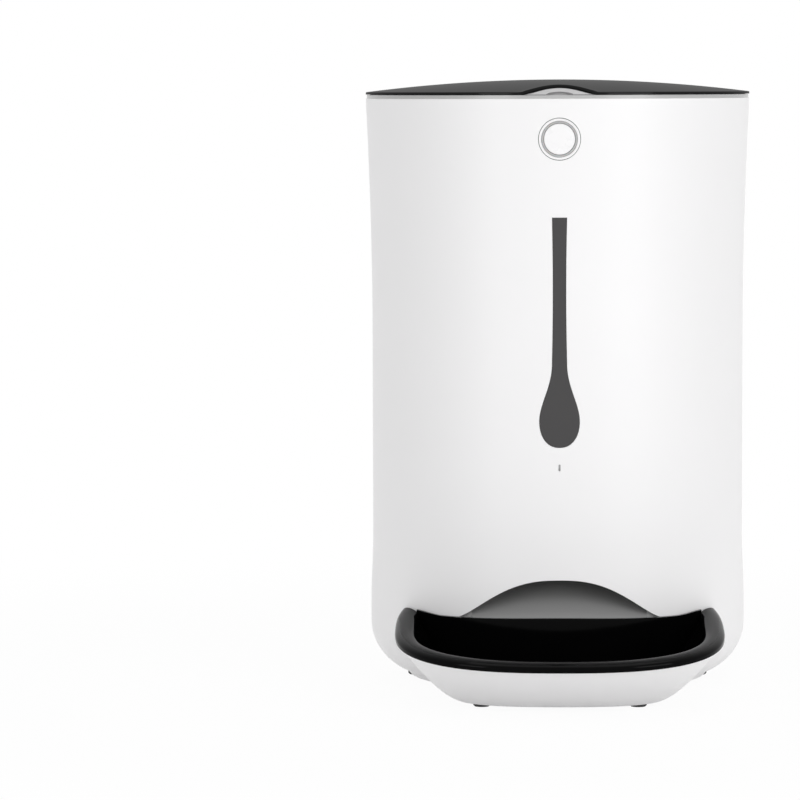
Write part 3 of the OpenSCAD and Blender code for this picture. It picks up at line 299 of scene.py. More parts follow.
def plastic(name, colour, rough, drift=0.03, grain=2600, depth=4e-6, shine=0.5, polish=0.0, skin=1.5):
    """Moulded plastic with a drifting tone and a fine grain; polish is a clear coat, skin its refraction."""
    material, tree, shader = new_finish(name)
    darker = tuple(c * (1 - drift) for c in colour)
    drive_colour(tree, noise_socket(tree, SLOW_PATCHES, 2), darker, colour, shader.inputs["Base Color"])
    clouds = noise_socket(tree, GLOSS_CLOUDS, 4)
    drive_value(tree, clouds, rough * 0.92, rough * 1.1, shader.inputs["Roughness"])
    add_grain(tree, shader, noise_socket(tree, grain, 2), depth)
    shader.inputs["Specular IOR Level"].default_value = shine
    shader.inputs["Coat Weight"].default_value = polish
    shader.inputs["Coat Roughness"].default_value = COAT_ROUGH
    shader.inputs["Coat IOR"].default_value = skin
    return material


def metal(name, colour, rough, stretch):
    """Drawn or turned metal with fine marks along one direction."""
    material, tree, shader = new_finish(name)
    marks = noise_socket(tree, METAL_MARKS, 4, stretch)
    drive_colour(tree, marks, tuple(c * 0.86 for c in colour), colour, shader.inputs["Base Color"])
    drive_value(tree, marks, rough * 0.8, rough * 1.25, shader.inputs["Roughness"])
    add_grain(tree, shader, marks, 3e-6)
    shader.inputs["Metallic"].default_value = 1.0
    return material


# %% [markdown]
# The shell is a satin white, the bowl a polished black, and the lid is black with a slightly softer
# gloss. The latch is light grey. The light grey of the strip under the lid and the darker grey of the chute
# are painted shade, for the lid's shadow and for the shade under the arch. Nylon gears, silicone seals,
# rubber feet and a few metals make up the inside.

# %% Plastics and metals of the feeder
white_shell = plastic("white_shell", (0.90, 0.895, 0.90), 0.34, drift=0.015, shine=0.25)
button_white = plastic("button_white", (0.90, 0.895, 0.90), 0.28, drift=0.01, grain=3200)
plastic("inner_white", (0.74, 0.74, 0.73), 0.5, drift=0.04, grain=1800, depth=8e-6)
black_gloss = plastic("black_gloss", (0.0015, 0.0015, 0.0016), 0.2, drift=0.3, grain=2400, depth=1.5e-6,
                      shine=0.0, polish=1.0, skin=1.13)
lid_black = plastic("lid_black", (0.010, 0.010, 0.010), 0.3, drift=0.2, grain=2400, depth=3e-6,
                    shine=0.0, polish=0.16)
plastic("inner_black", (0.016, 0.016, 0.017), 0.48, drift=0.15, grain=1500, depth=8e-6)
# pale_trim is painted shade: the lid's shadow on the strip under the lid is given as a light grey colour.
plastic("pale_trim", (0.42, 0.416, 0.42), 0.38, drift=0.05, grain=2000, depth=5e-6)
latch_silver = plastic("latch_silver", (0.52, 0.515, 0.52), 0.3, drift=0.04, grain=4200, depth=3e-6)
# chute_grey is painted shade: the chute is given a mid grey for the shade that falls on it under the arch.
chute_grey = plastic("chute_grey", (0.28, 0.277, 0.28), 0.45, drift=0.06, grain=1600, depth=8e-6)
plastic("grey_nylon", (0.36, 0.37, 0.38), 0.5, drift=0.06, grain=1400, depth=1e-5)
plastic("pale_nylon", (0.72, 0.70, 0.64), 0.42, drift=0.06, grain=1200, depth=8e-6)
plastic("silicone", (0.55, 0.56, 0.57), 0.6, drift=0.08, grain=900, depth=1.2e-5)
plastic("foot_rubber", (0.09, 0.09, 0.092), 0.75, drift=0.25, grain=1100, depth=2.5e-5)
metal("steel", (0.62, 0.62, 0.63), 0.28, stretch=(1, 1, 8))
metal("bronze", (0.58, 0.40, 0.20), 0.4, stretch=(3, 3, 1))
metal("motor_metal", (0.48, 0.49, 0.50), 0.36, stretch=(1, 1, 6))
print(len(bpy.data.materials), "finishes so far")

# %% [markdown]
# The drop-shaped window is smoked acrylic: nearly black behind its polish, so the camera in its widest
# place can look out without being seen. It could be tinted glass, but a dark surface with a clean gloss is
# simpler and is sure to hide the inside. The ring round the feed button is a frosted light guide, off, and
# a little light spreads inside it. The lens and the lamps are clear.

# %% Window, light guide and glass
smoked_window, tree, shader = new_finish("smoked_window")
smoke = noise_socket(tree, 25, 2)
drive_colour(tree, smoke, (0.040, 0.038, 0.039), (0.046, 0.044, 0.045), shader.inputs["Base Color"])
drive_value(tree, noise_socket(tree, 300, 3), 0.10, 0.16, shader.inputs["Roughness"])
shader.inputs["IOR"].default_value = 1.49

light_ring, tree, shader = new_finish("light_ring")
frost = noise_socket(tree, 900, 3)
drive_colour(tree, frost, (0.42, 0.42, 0.422), (0.48, 0.48, 0.482), shader.inputs["Base Color"])
drive_value(tree, frost, 0.3, 0.42, shader.inputs["Roughness"])
shader.inputs["Subsurface Weight"].default_value = 0.15
shader.inputs["Subsurface Scale"].default_value = 0.001


def clear_glass(name, tint, ior):
    """Polished optical glass or epoxy with a faint coating that drifts in tone."""
    tree, shader = new_finish(name)[1:]
    coating = noise_socket(tree, 120, 2)
    drive_colour(tree, coating, tuple(c * 0.9 for c in tint), tint, shader.inputs["Base Color"])
    drive_value(tree, coating, 0.02, 0.06, shader.inputs["Roughness"])
    shader.inputs["Transmission Weight"].default_value = 0.85
    shader.inputs["IOR"].default_value = ior


clear_glass("lens_glass", (0.35, 0.38, 0.52), 1.6)
clear_glass("lamp_clear", (0.72, 0.74, 0.82), 1.5)
print("window, ring and glass ready")

# %% [markdown]
# A board is glass fibre under green solder mask, with straight copper tracks that show through it as
# paler lines. Modelled tracks would be lost at this size, so the mortar of a brick pattern draws them.
# A dry cell wears a printed sleeve, dark, with a copper-coloured band at one end.

# %% Circuit board and battery sleeve
tree, shader = new_finish("circuit_board")[1:]
tracks = tree.nodes.new("ShaderNodeTexBrick")
tracks.inputs["Scale"].default_value = 160
tracks.inputs["Mortar Size"].default_value = 0.035
tracks.inputs["Color1"].default_value = (0.010, 0.090, 0.040, 1)
tracks.inputs["Color2"].default_value = (0.012, 0.110, 0.050, 1)
tracks.inputs["Mortar"].default_value = (0.050, 0.220, 0.100, 1)
upright = tree.nodes.new("ShaderNodeVectorRotate")
upright.rotation_type = "X_AXIS"
upright.inputs["Angle"].default_value = math.pi / 2
tree.links.new(place_socket(tree), upright.inputs["Vector"])
tree.links.new(upright.outputs["Vector"], tracks.inputs["Vector"])
tree.links.new(tracks.outputs["Color"], shader.inputs["Base Color"])
drive_value(tree, noise_socket(tree, 700, 2), 0.28, 0.4, shader.inputs["Roughness"])
add_grain(tree, shader, tracks.outputs["Fac"], 2e-5)

BAND_EDGE = AXIS_Y + 0.040
BAND_BLUR = 0.0004
SLEEVE, COPPER = (0.030, 0.034, 0.045), (0.55, 0.40, 0.20)
tree, shader = new_finish("cell_wrap")[1:]
along = tree.nodes.new("ShaderNodeSeparateXYZ")
tree.links.new(place_socket(tree), along.inputs["Vector"])
stripe = tree.nodes.new("ShaderNodeMapRange")
stripe.interpolation_type = "SMOOTHSTEP"
stripe.inputs["From Min"].default_value = BAND_EDGE
stripe.inputs["From Max"].default_value = BAND_EDGE + BAND_BLUR
tree.links.new(along.outputs["Y"], stripe.inputs["Value"])
drive_colour(tree, stripe.outputs["Result"], SLEEVE, COPPER, shader.inputs["Base Color"])
drive_value(tree, noise_socket(tree, 200, 3), 0.2, 0.32, shader.inputs["Roughness"])
finishes = {m.name: m for m in bpy.data.materials}
print(len(finishes), "finishes in all")

# %% [markdown]
# ## A first dress for every CAD piece
# Each piece gets the finish that its slot in the record names, so inner pieces that keep their CAD shape
# are already right. Naming the slots in the record, and not here, keeps both models in step.

# %% Finish every CAD piece by its slot
slot_of = {row["node"]: row["material_slot"] for row in frame["record"]["subparts"]}
for name, piece in nodes.items():
    piece.data.materials.clear()
    piece.data.materials.append(finishes[slot_of[name]])
print("dressed", len(nodes), "CAD pieces")

# %% [markdown]
# ## Helpers for smooth shells
# Every new piece is a closed mesh from points and faces. Shading is smooth except across edges sharper
# than a limit, which keeps round walls round and corners crisp without a modifier.

# %% Closed meshes
SMOOTH_LIMIT = math.radians(32)
SAME_POINT = 1e-6


def settle(mesh):
    """Joins doubled points, turns faces outwards and shades the mesh."""
    shell = bmesh.new()
    shell.from_mesh(mesh)
    bmesh.ops.remove_doubles(shell, verts=shell.verts, dist=SAME_POINT)
    bmesh.ops.recalc_face_normals(shell, faces=shell.faces)
    shell.to_mesh(mesh)
    shell.free()
    mesh.shade_smooth()
    mesh.set_sharp_from_angle(angle=SMOOTH_LIMIT)


def solid(name, points, faces, finish=None):
    """A closed mesh object from points and faces."""
    mesh = bpy.data.meshes.new(name)
    mesh.from_pydata(points, [], faces)
    if finish:
        mesh.materials.append(finish)
    settle(mesh)
    piece = bpy.data.objects.new(name, mesh)
    scene.collection.objects.link(piece)
    return piece


# %% [markdown]
# A turned shell is a profile swept round an axis, a moulded one is a skin over a stack of rings. A screw
# modifier could do the first, but a direct loop fixes the number of faces and where they meet.

# %% Turning and lofting
AROUND = 256


def turned(name, profile, finish=None, around=AROUND, axis="Z", centre=(0, 0)):
    """A closed profile of (radius, height) swept round Z at the body axis, or round Y at centre (x, z)."""
    points = []
    for i in range(around):
        c, s = math.cos(2 * math.pi * i / around), math.sin(2 * math.pi * i / around)
        for r, h in profile:
            if axis == "Z":
                points.append((r * c, AXIS_Y + r * s, h))
            else:
                points.append((centre[0] + r * c, h, centre[1] + r * s))
    n = len(profile)
    faces = []
    for i in range(around):
        j = (i + 1) % around
        for k in range(n):
            m = (k + 1) % n
            if profile[k][0] + profile[m][0] > 1e-7:
                faces.append((i * n + k, j * n + k, j * n + m, i * n + m))
    return solid(name, points, faces, finish)


def lofted(name, rings, finish=None, capped=True):
    """A skin over rings of equal count, closed at both ends or joined end to start."""
    n = len(rings[0])
    points = [p for ring in rings for p in ring]
    faces = []
    for i in range(len(rings) - (1 if capped else 0)):
        low, high = i * n, (i + 1) % len(rings) * n
        for k in range(n):
            m = (k + 1) % n
            faces.append((low + k, low + m, high + m, high + k))
    if capped:
        faces.append(tuple(range(n)))
        faces.append(tuple(range(len(points) - n, len(points))))
    return solid(name, points, faces, finish)


# %% [markdown]
# Straight pieces and cutters are outlines pushed along one axis. Openings are carved with an exact
# boolean that is applied at once, so that the mesh itself has the opening and the cutter can go.

# %% Pushing and carving
def prism(name, outline, low, high, axis="Y", finish=None):
    """An outline in XZ pushed along Y, in XY along Z, or in YZ along X."""
    order = {"X": lambda a, b, h: (h, a, b),
             "Y": lambda a, b, h: (a, h, b),
             "Z": lambda a, b, h: (a, b, h)}[axis]
    return lofted(name, [[order(a, b, h) for a, b in outline] for h in (low, high)], finish)


def prisms(name, outlines, low, high):
    """Several separate outlines in XY pushed along Z as one closed cutter."""
    points, faces = [], []
    for outline in outlines:
        n, first = len(outline), len(points)
        points += [(x, y, h) for h in (low, high) for x, y in outline]
        for k in range(n):
            m = (k + 1) % n
            faces.append((first + k, first + m, first + n + m, first + n + k))
        faces += [tuple(range(first, first + n)), tuple(range(first + n, first + 2 * n))]
    return solid(name, points, faces)


def carve(piece, tool, how="DIFFERENCE"):
    """Cuts with, joins or keeps the part inside a closed tool, which is used up."""
    step = piece.modifiers.new("carve", "BOOLEAN")
    step.operation = how
    step.solver = "EXACT"
    step.object = tool
    graph = bpy.context.evaluated_depsgraph_get()
    result = bpy.data.meshes.new_from_object(piece.evaluated_get(graph))
    piece.modifiers.clear()
    piece.data = result
    bpy.data.objects.remove(tool)
    settle(result)


# %% [markdown]
# A few outlines come back again and again: circles, rectangles, corners rounded by a radius, and the
# bell-shaped arch of the food opening, the lid's brow and the latch. The last helper puts a finished piece
# on its body in place of the CAD pieces.

# %% Outlines and places
BELL_FOOT = 1.5
MOST_OF_EDGE = 0.45


def circle(r, x=0.0, y=0.0, n=64):
    """Points of a circle."""
    turns = [2 * math.pi * i / n for i in range(n)]
    return [(x + r * math.cos(a), y + r * math.sin(a)) for a in turns]


def rectangle(x0, x1, y0, y1):
    """Corners of a rectangle."""
    return [(x0, y0), (x1, y0), (x1, y1), (x0, y1)]


def softened(profile, radius, steps=5):
    """Rounds every corner of a closed profile of points by a radius."""
    result = []
    n = len(profile)
    for i in range(n):
        before, here, after = (Vector(profile[j % n]) for j in (i - 1, i, i + 1))
        to_before, to_after = before - here, after - here
        reach = min(radius, to_before.length * MOST_OF_EDGE, to_after.length * MOST_OF_EDGE)
        start = here + to_before.normalized() * reach
        end = here + to_after.normalized() * reach
        for k in range(steps + 1):
            t = k / steps
            result.append(tuple(start * (1 - t) ** 2 + here * 2 * t * (1 - t) + end * t ** 2))
    return result


def bell_at(x, half_w, rise, crown=2.0):
    """Height at x of a bell-shaped arch, round at the crown and flat at the foot."""
    t = min(1, abs(x) / half_w)
    return rise * (1 - t ** crown) ** BELL_FOOT


def bell(half_w, rise, crown=2.0, n=60):
    """Points of the bell-shaped arch from left to right."""
    return [(x, bell_at(x, half_w, rise, crown)) for x in (half_w * i / n for i in range(-n, n + 1))]


def ease(t):
    """Smooth step from 0 to 1."""
    u = min(1, max(0, t))
    return u * u * (3 - 2 * u)


def stands_for(piece, body, *names):
    """The piece rides its body and is shown instead of the CAD pieces it stands for."""
    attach(piece, body)
    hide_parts(*names)


# %% [markdown]
# ## The housing
# The housing is one tall moulding: a waist that flares to the lid, swells a little at the hip and turns
# under in a round foot. It could be a subdivided tube, but then its radius would only come near the CAD
# solid's. So the formula that shapes the solid is used again, with a much finer profile.

# %% Body profile and housing
TOP_R = 115 * MM
WAIST_R = 111.4 * MM
HIP_R = 112.6 * MM
WALL = 2.8 * MM
BASE_TOP = 5.5 * MM
DECK_T = 2 * MM
BODY_TOP = deck_high.z - DECK_T
FLARE_Z = 215 * MM
FLARE_POWER = 1.8
SWELL_Z = 88 * MM
HIP_FLAT = 12 * MM
ROUND_W = 33 * MM
ROUND_H = 31 * MM
ROUND_Z = 34 * MM
EDGE = 0.7 * MM


def body_r(z):
    """Outer radius of the body at height z."""
    if z > FLARE_Z:
        return WAIST_R + (TOP_R - WAIST_R) * ((z - FLARE_Z) / (BODY_TOP - FLARE_Z)) ** FLARE_POWER
    r = WAIST_R + (HIP_R - WAIST_R) * ease((SWELL_Z - z) / (SWELL_Z - ROUND_Z - HIP_FLAT))
    if z < ROUND_Z:
        r -= ROUND_W * (1 - math.sqrt(max(0, 1 - ((ROUND_Z - z) / ROUND_H) ** 2)))
    return r


def body_heights(foot=24, rise=90):
    """Heights along the body, close together in the round foot."""
    low = [BASE_TOP + (ROUND_Z - BASE_TOP) * math.sin(math.pi / 2 * i / foot) for i in range(foot)]
    return low + [ROUND_Z + (BODY_TOP - ROUND_Z) * i / rise for i in range(rise + 1)]


def inner_point(z):
    """A point of the inner wall, lifted in the foot so that the wall keeps its thickness there."""
    return body_r(z) - WALL, z + WALL * max(0, (ROUND_Z - z) / (ROUND_Z - BASE_TOP))


heights = body_heights()
outer = [(body_r(z), z) for z in heights[:-1]]
edge = [(body_r(BODY_TOP) - EDGE * (1 - math.cos(a)), BODY_TOP - EDGE * (1 - math.sin(a)))
        for a in (math.pi / 2 * k / 6 for k in range(7))]
inner = [inner_point(z) for z in reversed(heights)]
inner.append((body_r(BASE_TOP) - WALL, BASE_TOP))
housing = turned("housing_shell", outer + edge + inner, white_shell)
print("housing top at z =", round(BODY_TOP, 4))

# %% [markdown]
# The food arch is a bell over a straight notch for the chute's lip. Its cutter starts well in front of
# the wall and ends inside it, so that no face of the cutter lies in a face of the wall, where a boolean
# can fail.

# %% Food arch
PAST_WALL = 130 * MM
ARCH_HALF_W = 60 * MM
ARCH_RISE = 23.3 * MM
ARCH_POWER = 2.5
ARCH_DEEP = 85 * MM
SILL_Z = 47.3 * MM
SILL_DROP = 7.3 * MM
SILL_HALF_W = 51.2 * MM


def carve_front(outline, deep):
    """Carves an outline through the housing's front, as deep as a distance from the axis."""
    carve(housing, prism("front_cutter", outline, AXIS_Y - PAST_WALL, AXIS_Y - deep))


arch = [(x, SILL_Z + h) for x, h in bell(ARCH_HALF_W, ARCH_RISE, ARCH_POWER)]
arch += [(SILL_HALF_W, SILL_Z), (SILL_HALF_W, SILL_Z - SILL_DROP),
         (-SILL_HALF_W, SILL_Z - SILL_DROP), (-SILL_HALF_W, SILL_Z)]
carve_front(arch, ARCH_DEEP)
print("arch crown at z =", round(SILL_Z + ARCH_RISE, 4))

# %% [markdown]
# The window's opening is a long stem that swells into a drop. A curve with handles could draw it, but a
# width for each height serves the opening and the window alike, and the opening only needs to grow by
# the seat's clearance.

# %% Opening of the drop window
DROP_TOP = 280.6 * MM
STEM_LEN = 83.6 * MM
SWELL_LEN = 34 * MM
DROP_LEN = 15.3 * MM
DROP_NECK = DROP_TOP - STEM_LEN
DROP_Z = DROP_NECK - SWELL_LEN
STEM_HALF_W = 3.75 * MM
STEM_FLARE = 0.5 * MM
DROP_HALF_W = 11.6 * MM
DROP_POWER = 2.2
SWELL_POWER = 1.15
DROP_DEEP = 60 * MM
SEAT = 0.15 * MM


def stem_w(z):
    """Half width of the stem, which is slightly waisted in its middle."""
    middle = DROP_NECK + STEM_LEN / 2
    return STEM_HALF_W + STEM_FLARE * min(1, abs(z - middle) / (STEM_LEN / 2)) ** 2


def drop_w(z, grow=0.0):
    """Half width of the drop window at height z."""
    if z < DROP_Z:
        t = (DROP_Z - z) / (DROP_LEN + grow)
        return (DROP_HALF_W + grow) * max(0, 1 - t ** DROP_POWER) ** (1 / DROP_POWER)
    t = max(0, (DROP_NECK - z) / SWELL_LEN) ** SWELL_POWER
    return grow + stem_w(z) + (DROP_HALF_W - stem_w(z)) * ease(t)


def drop_heights(grow=0.0):
    """Heights along the drop from its bottom to its top."""
    low = [DROP_Z - (DROP_LEN + grow) * math.cos(math.pi / 2 * i / 24) for i in range(24)]
    neck = [DROP_Z + SWELL_LEN * i / 30 for i in range(31)]
    return low + neck + [DROP_NECK + (STEM_LEN + grow) * i / 20 for i in range(1, 21)]


levels = drop_heights(SEAT)
drop = [(drop_w(z, SEAT), z) for z in levels] + [(-drop_w(z, SEAT), z) for z in reversed(levels[1:])]
carve_front(drop, DROP_DEEP)
print("window opening is", round((levels[-1] - levels[0]) / MM, 1), "mm tall")

# %% [markdown]
# The button's round seat and the small sound slot go through the front in the same way, and the power
# inlet's hole through the rear.

# %% Button seat, sound slot and inlet
BUTTON_Z = 325.8 * MM
BEZEL_R = 12 * MM
BEZEL_GAP = 0.3 * MM
HOLE_DEEP = 100 * MM
carve_front(circle(BEZEL_R + BEZEL_GAP, 0, BUTTON_Z, n=96), HOLE_DEEP)
MIC_Z = 136 * MM
SLOT_R = 0.6 * MM
SLOT_HALF = 1.4 * MM
slot = circle(SLOT_R, 0, MIC_Z + SLOT_HALF, n=32)[:17] + circle(SLOT_R, 0, MIC_Z - SLOT_HALF, n=32)[16:]
carve_front(slot, HOLE_DEEP)
INLET_R = 5.2 * MM
INLET_Z = 62 * MM
INLET_DEEP = 95 * MM
inlet = circle(INLET_R + SEAT, 0, INLET_Z)
carve(housing, prism("inlet_cutter", inlet, AXIS_Y + INLET_DEEP, AXIS_Y + PAST_WALL))
stands_for(housing, "body", "housing")
print("housing has", len(housing.data.polygons), "faces")

# %% [markdown]
# The arch is wider than the chute, so a view past its feet would end in the dark inside. A thin flange
# on each side of the chute's mouth closes that corner. The CAD solid of the chute has none, so the
# flanges are pieces of their own, bent round the inside of the wall.

# %% Flanges of the chute's mouth
FLANGE_GAP = 0.4 * MM
FLANGE_OUT = HIP_R - WALL - FLANGE_GAP
FLANGE_T = 1.5 * MM
FLANGE_X0, FLANGE_X1 = 50.9 * MM, 63 * MM
FLANGE_LOW, FLANGE_HIGH = 44 * MM, 56 * MM


def flange_arc(radius, side, n=12):
    """Points of a short arc beside the chute."""
    return [(side * x, AXIS_Y - math.sqrt(radius ** 2 - x * x))
            for x in (FLANGE_X0 + (FLANGE_X1 - FLANGE_X0) * i / n for i in range(n + 1))]


# The flanges take the chute's grey, which is painted shade as on the chute.
for name, side in (("left", -1), ("right", 1)):
    outline = flange_arc(FLANGE_OUT, side) + flange_arc(FLANGE_OUT - FLANGE_T, side)[::-1]
    flange = prism("chute_flange_" + name, outline, FLANGE_LOW, FLANGE_HIGH, "Z", chute_grey)
    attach(flange, "body")
print("chute flanges made")

# %% [markdown]
# ## The window
# The window fills its opening nearly flush with the curved wall. A flat pane pushed onto the wall with a
# shrinkwrap could do, but rings laid on the body's own profile need no fitting: each level has a face and
# a back.

# %% Window
WINDOW_SINK = 0.05 * MM
WINDOW_T = 2.9 * MM
ACROSS = 12
NARROWEST = 1e-5
columns = [i / ACROSS for i in range(-ACROSS, ACROSS + 1)]


def window_point(x, z, sink):
    """A point at x and z that lies below the body's front by a sink."""
    return x, AXIS_Y - math.sqrt((body_r(z) - sink) ** 2 - x ** 2), z


def window_ring(z):
    """One level of the window: its face from left to right and its back from right to left."""
    half = max(drop_w(z), NARROWEST)
    front = [window_point(u * half, z, WINDOW_SINK) for u in columns]
    return front + [window_point(u * half, z, WINDOW_T) for u in reversed(columns)]


window = lofted("smoked_drop_window", [window_ring(z) for z in drop_heights()], smoked_window)
stands_for(window, "body", "drop_window")
print("window has", len(window.data.polygons), "faces")

# %% [markdown]
# ## The feed button and its ring
# The button is a shallow crowned disc, the light guide a thin ring round it, and the bezel a wider ring.
# All three are turned round the same level axis. Their soft edges catch a line of light, which a sharp
# cylinder wouldn't, and the gap round the bezel leaves a fine shadow in the wall.

# %% Feed button, light ring and bezel
BUTTON_R = 9 * MM
BUTTON_T = 2.6 * MM
BUTTON_AROUND = 128
CROWN = 0.25 * MM
ROUND_IN, ROUND_DEEP = 0.35 * MM, 0.5 * MM
STALK_R = BUTTON_R - 4 * MM
RING_IN = 9.2 * MM
RING_OUT = 10.3 * MM
RING_ROUND = 0.25 * MM
BEZEL_IN = RING_OUT + 0.1 * MM
BEZEL_T = 4 * MM
BEZEL_ROUND = 0.4 * MM
button_low, button_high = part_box("feed_button")
ring_low, ring_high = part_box("button_light_ring")
bezel_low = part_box("button_bezel")[0]
FACE_Y = button_low.y


def button_piece(name, profile, finish):
    """A profile of (radius, y) turned round the button's axis."""
    return turned(name, profile, finish, BUTTON_AROUND, "Y", (0, BUTTON_Z))


disc = [(BUTTON_R * reach, FACE_Y + CROWN * sink) for reach, sink in ((0, 0), (0.5, 0.2), (0.85, 0.75))]
disc += [(BUTTON_R - ROUND_IN * (1 - math.sin(a)), FACE_Y + CROWN + ROUND_DEEP * (1 - math.cos(a)))
         for a in (math.pi / 2 * k / 5 for k in range(6))]
disc += [(BUTTON_R, FACE_Y + BUTTON_T), (STALK_R, FACE_Y + BUTTON_T), (STALK_R, button_high.y),
         (0, button_high.y)]
button = button_piece("feed_button_disc", disc, button_white)
stands_for(button, "feed_button", "feed_button")

guide = softened(rectangle(RING_IN, RING_OUT, ring_low.y, ring_high.y), RING_ROUND)
stands_for(button_piece("light_guide_ring", guide, light_ring), "body", "button_light_ring")

bezel = softened(rectangle(BEZEL_IN, BEZEL_R, bezel_low.y, bezel_low.y + BEZEL_T), BEZEL_ROUND)
stands_for(button_piece("button_bezel_ring", bezel, button_white), "body", "button_bezel")
print("button face at y =", round(FACE_Y, 4))

# %% [markdown]
# ## Outlines of cradle and bowl
# Cradle and bowl share one outline, a squared-off oval, wide at the tilted rim and narrow on the floor.
# It could be sculpted from a subdivided box, but bowl and cradle would be hard to nest. Rings between floor
# and rim that swell out early and then rise give both the round bilge of a boat.

# %% Rings of cradle and bowl
BOAT_AHEAD = 110 * MM
BOAT_Y = AXIS_Y - BOAT_AHEAD
OVAL_REAR = 108 * MM
OVAL_POINTS = 200
REAR_SHARE = 0.1
RIM_POWER = 2.6
RIM_HALF_W = 95.5 * MM
RIM_W = 12 * MM
RIM_T = 5 * MM
RIM_DOME = 3 * MM
RIM_Z = 50 * MM
RIM_TILT = math.radians(8.4)
PIVOT_AHEAD = 69 * MM
PIVOT_Y = AXIS_Y - PIVOT_AHEAD
REACH = 189.9 * MM
TILTED_REACH = (REACH - PIVOT_AHEAD + RIM_DOME * math.sin(RIM_TILT)) / math.cos(RIM_TILT)
RIM_FRONT = TILTED_REACH + PIVOT_AHEAD - BOAT_AHEAD


def oval(half_w, front, rear):
    """A squared-off oval, longer behind than in front."""
    points = []
    for i in range(OVAL_POINTS):
        c, s = math.cos(2 * math.pi * i / OVAL_POINTS), math.sin(2 * math.pi * i / OVAL_POINTS)
        reach = front if s < 0 else rear
        points.append((math.copysign(half_w * abs(c) ** (2 / RIM_POWER), c),
                       math.copysign(reach * abs(s) ** (2 / RIM_POWER), s)))
    return points


def level_ring(half_w, front, inset, z):
    """The oval drawn in and laid level at height z."""
    ring = oval(half_w - inset, front - inset, OVAL_REAR - REAR_SHARE * inset)
    return [Vector((x, y + BOAT_Y, z)) for x, y in ring]


def rim_ring(inset, depth):
    """The oval drawn in from the rim's outer edge, parallel to the tilted rim at a depth below its top."""
    ring = []
    for x, y in oval(RIM_HALF_W - inset, RIM_FRONT - inset, OVAL_REAR - REAR_SHARE * inset):
        back = y + BOAT_Y - PIVOT_Y
        ring.append(Vector((x, PIVOT_Y + back * math.cos(RIM_TILT) + depth * math.sin(RIM_TILT),
                            RIM_Z + back * math.sin(RIM_TILT) - depth * math.cos(RIM_TILT))))
    return ring


def swell(low, high, power, steps=28):
    """Rings from a low ring to a high ring that swell out early and then rise."""
    rings = []
    for i in range(steps + 1):
        t = (i / steps) ** 2
        u = t ** power
        rings.append([Vector((a.x + (b.x - a.x) * u, a.y + (b.y - a.y) * u, a.z + (b.z - a.z) * t))
                      for a, b in zip(low, high)])
    return rings


print("rim reaches", round(RIM_FRONT / MM, 1), "mm ahead of the oval's middle")

# %% [markdown]
# ## The cradle
# The boat-shaped cradle grows out of the base and holds the bowl. A solidify modifier could hollow it,
# but its floor is thicker than its wall, so the inside is lofted from rings of its own and carved out, and
# the room for the housing's foot is turned from the body's profile.

# %% Cradle
FOOT_H = 2 * MM
BOAT_HALF_W = 58.5 * MM
BOAT_FRONT = 38 * MM
BOAT_POWER = 0.68
BOAT_IN = 2 * MM
CRADLE_WALL = 2.6 * MM
CRADLE_OPEN = 2 * MM
BASE_T = 3.5 * MM
GAP = 0.3 * MM


def boat_rings(inset, lift, depth):
    """Rings of the boat, drawn in and lifted for its inside."""
    return swell(level_ring(BOAT_HALF_W, BOAT_FRONT, inset, FOOT_H + lift),
                 rim_ring(BOAT_IN + inset, depth), BOAT_POWER)


boat = lofted("cradle_boat", boat_rings(0, 0, RIM_T + GAP), white_shell)
carve(boat, lofted("cradle_inside", boat_rings(CRADLE_WALL, BASE_T, -CRADLE_OPEN)))
foot_room = [(0, BASE_TOP)] + [(body_r(z) + GAP, z) for z in heights] + [(0, BODY_TOP)]
carve(boat, turned("foot_clearance", foot_room))
print("cradle reaches y =", round(min(v.co.y for v in boat.data.vertices), 4))

# %% [markdown]
# The base plate is a shallow dish under the housing, with a bay and a groove for the battery door. It
# shares its floor with the boat. Two faces in one plane would fight for the same pixels, so the plate's
# faces stay a hair's breadth inside the boat's.

# %% Base plate
BASE_R = body_r(BASE_TOP) - 0.6 * MM
DRAFT = 3 * MM
APART = 0.05 * MM
PLATE_ROUND = 0.5 * MM
PLATE_LOW, PLATE_HIGH = FOOT_H + APART, BASE_TOP - APART
plate_profile = [(NARROWEST, PLATE_LOW), (BASE_R - DRAFT, PLATE_LOW), (BASE_R, PLATE_HIGH),
                 (NARROWEST, PLATE_HIGH)]
plate = turned("base_plate", softened(plate_profile, PLATE_ROUND), white_shell)
DOOR_HALF_W = 50 * MM
BAY_H, BAY_OVERLAP = 0.8 * MM, 0.01 * MM
PAST_BASE = AXIS_Y + 120 * MM
door_low, door_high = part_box("battery_door")
bay = rectangle(-DOOR_HALF_W, DOOR_HALF_W, door_low.y - GAP, PAST_BASE)
carve(plate, prism("door_bay", bay, FOOT_H - MM, FOOT_H + BAY_H, "Z"))
groove = rectangle(door_low.x - GAP, door_high.x + GAP, door_low.y - GAP, PAST_BASE)
carve(plate, prism("door_groove", groove, FOOT_H + BAY_H - BAY_OVERLAP, door_high.z + GAP, "Z"))
print("base plate has", len(plate.data.polygons), "faces")

# %% [markdown]
# The underside has a speaker grille, seats for six feet and four sunk screw heads. A boolean for each hole
# would be slow and could leave slivers, so the holes of one kind are one cutter, used on plate and boat
# alike.

# %% Holes in the underside
SPEAKER_Y = AXIS_Y - 62 * MM
HOLE_R = 1.5 * MM
HOLE_PITCH = 6 * MM
grille = [circle(HOLE_R, 0, SPEAKER_Y, n=24)]
for ring in (1, 2):
    for k in range(6 * ring):
        angle = math.pi / 3 * k / ring
        reach = HOLE_PITCH * ring
        grille.append(circle(HOLE_R, reach * math.cos(angle), SPEAKER_Y + reach * math.sin(angle), n=24))

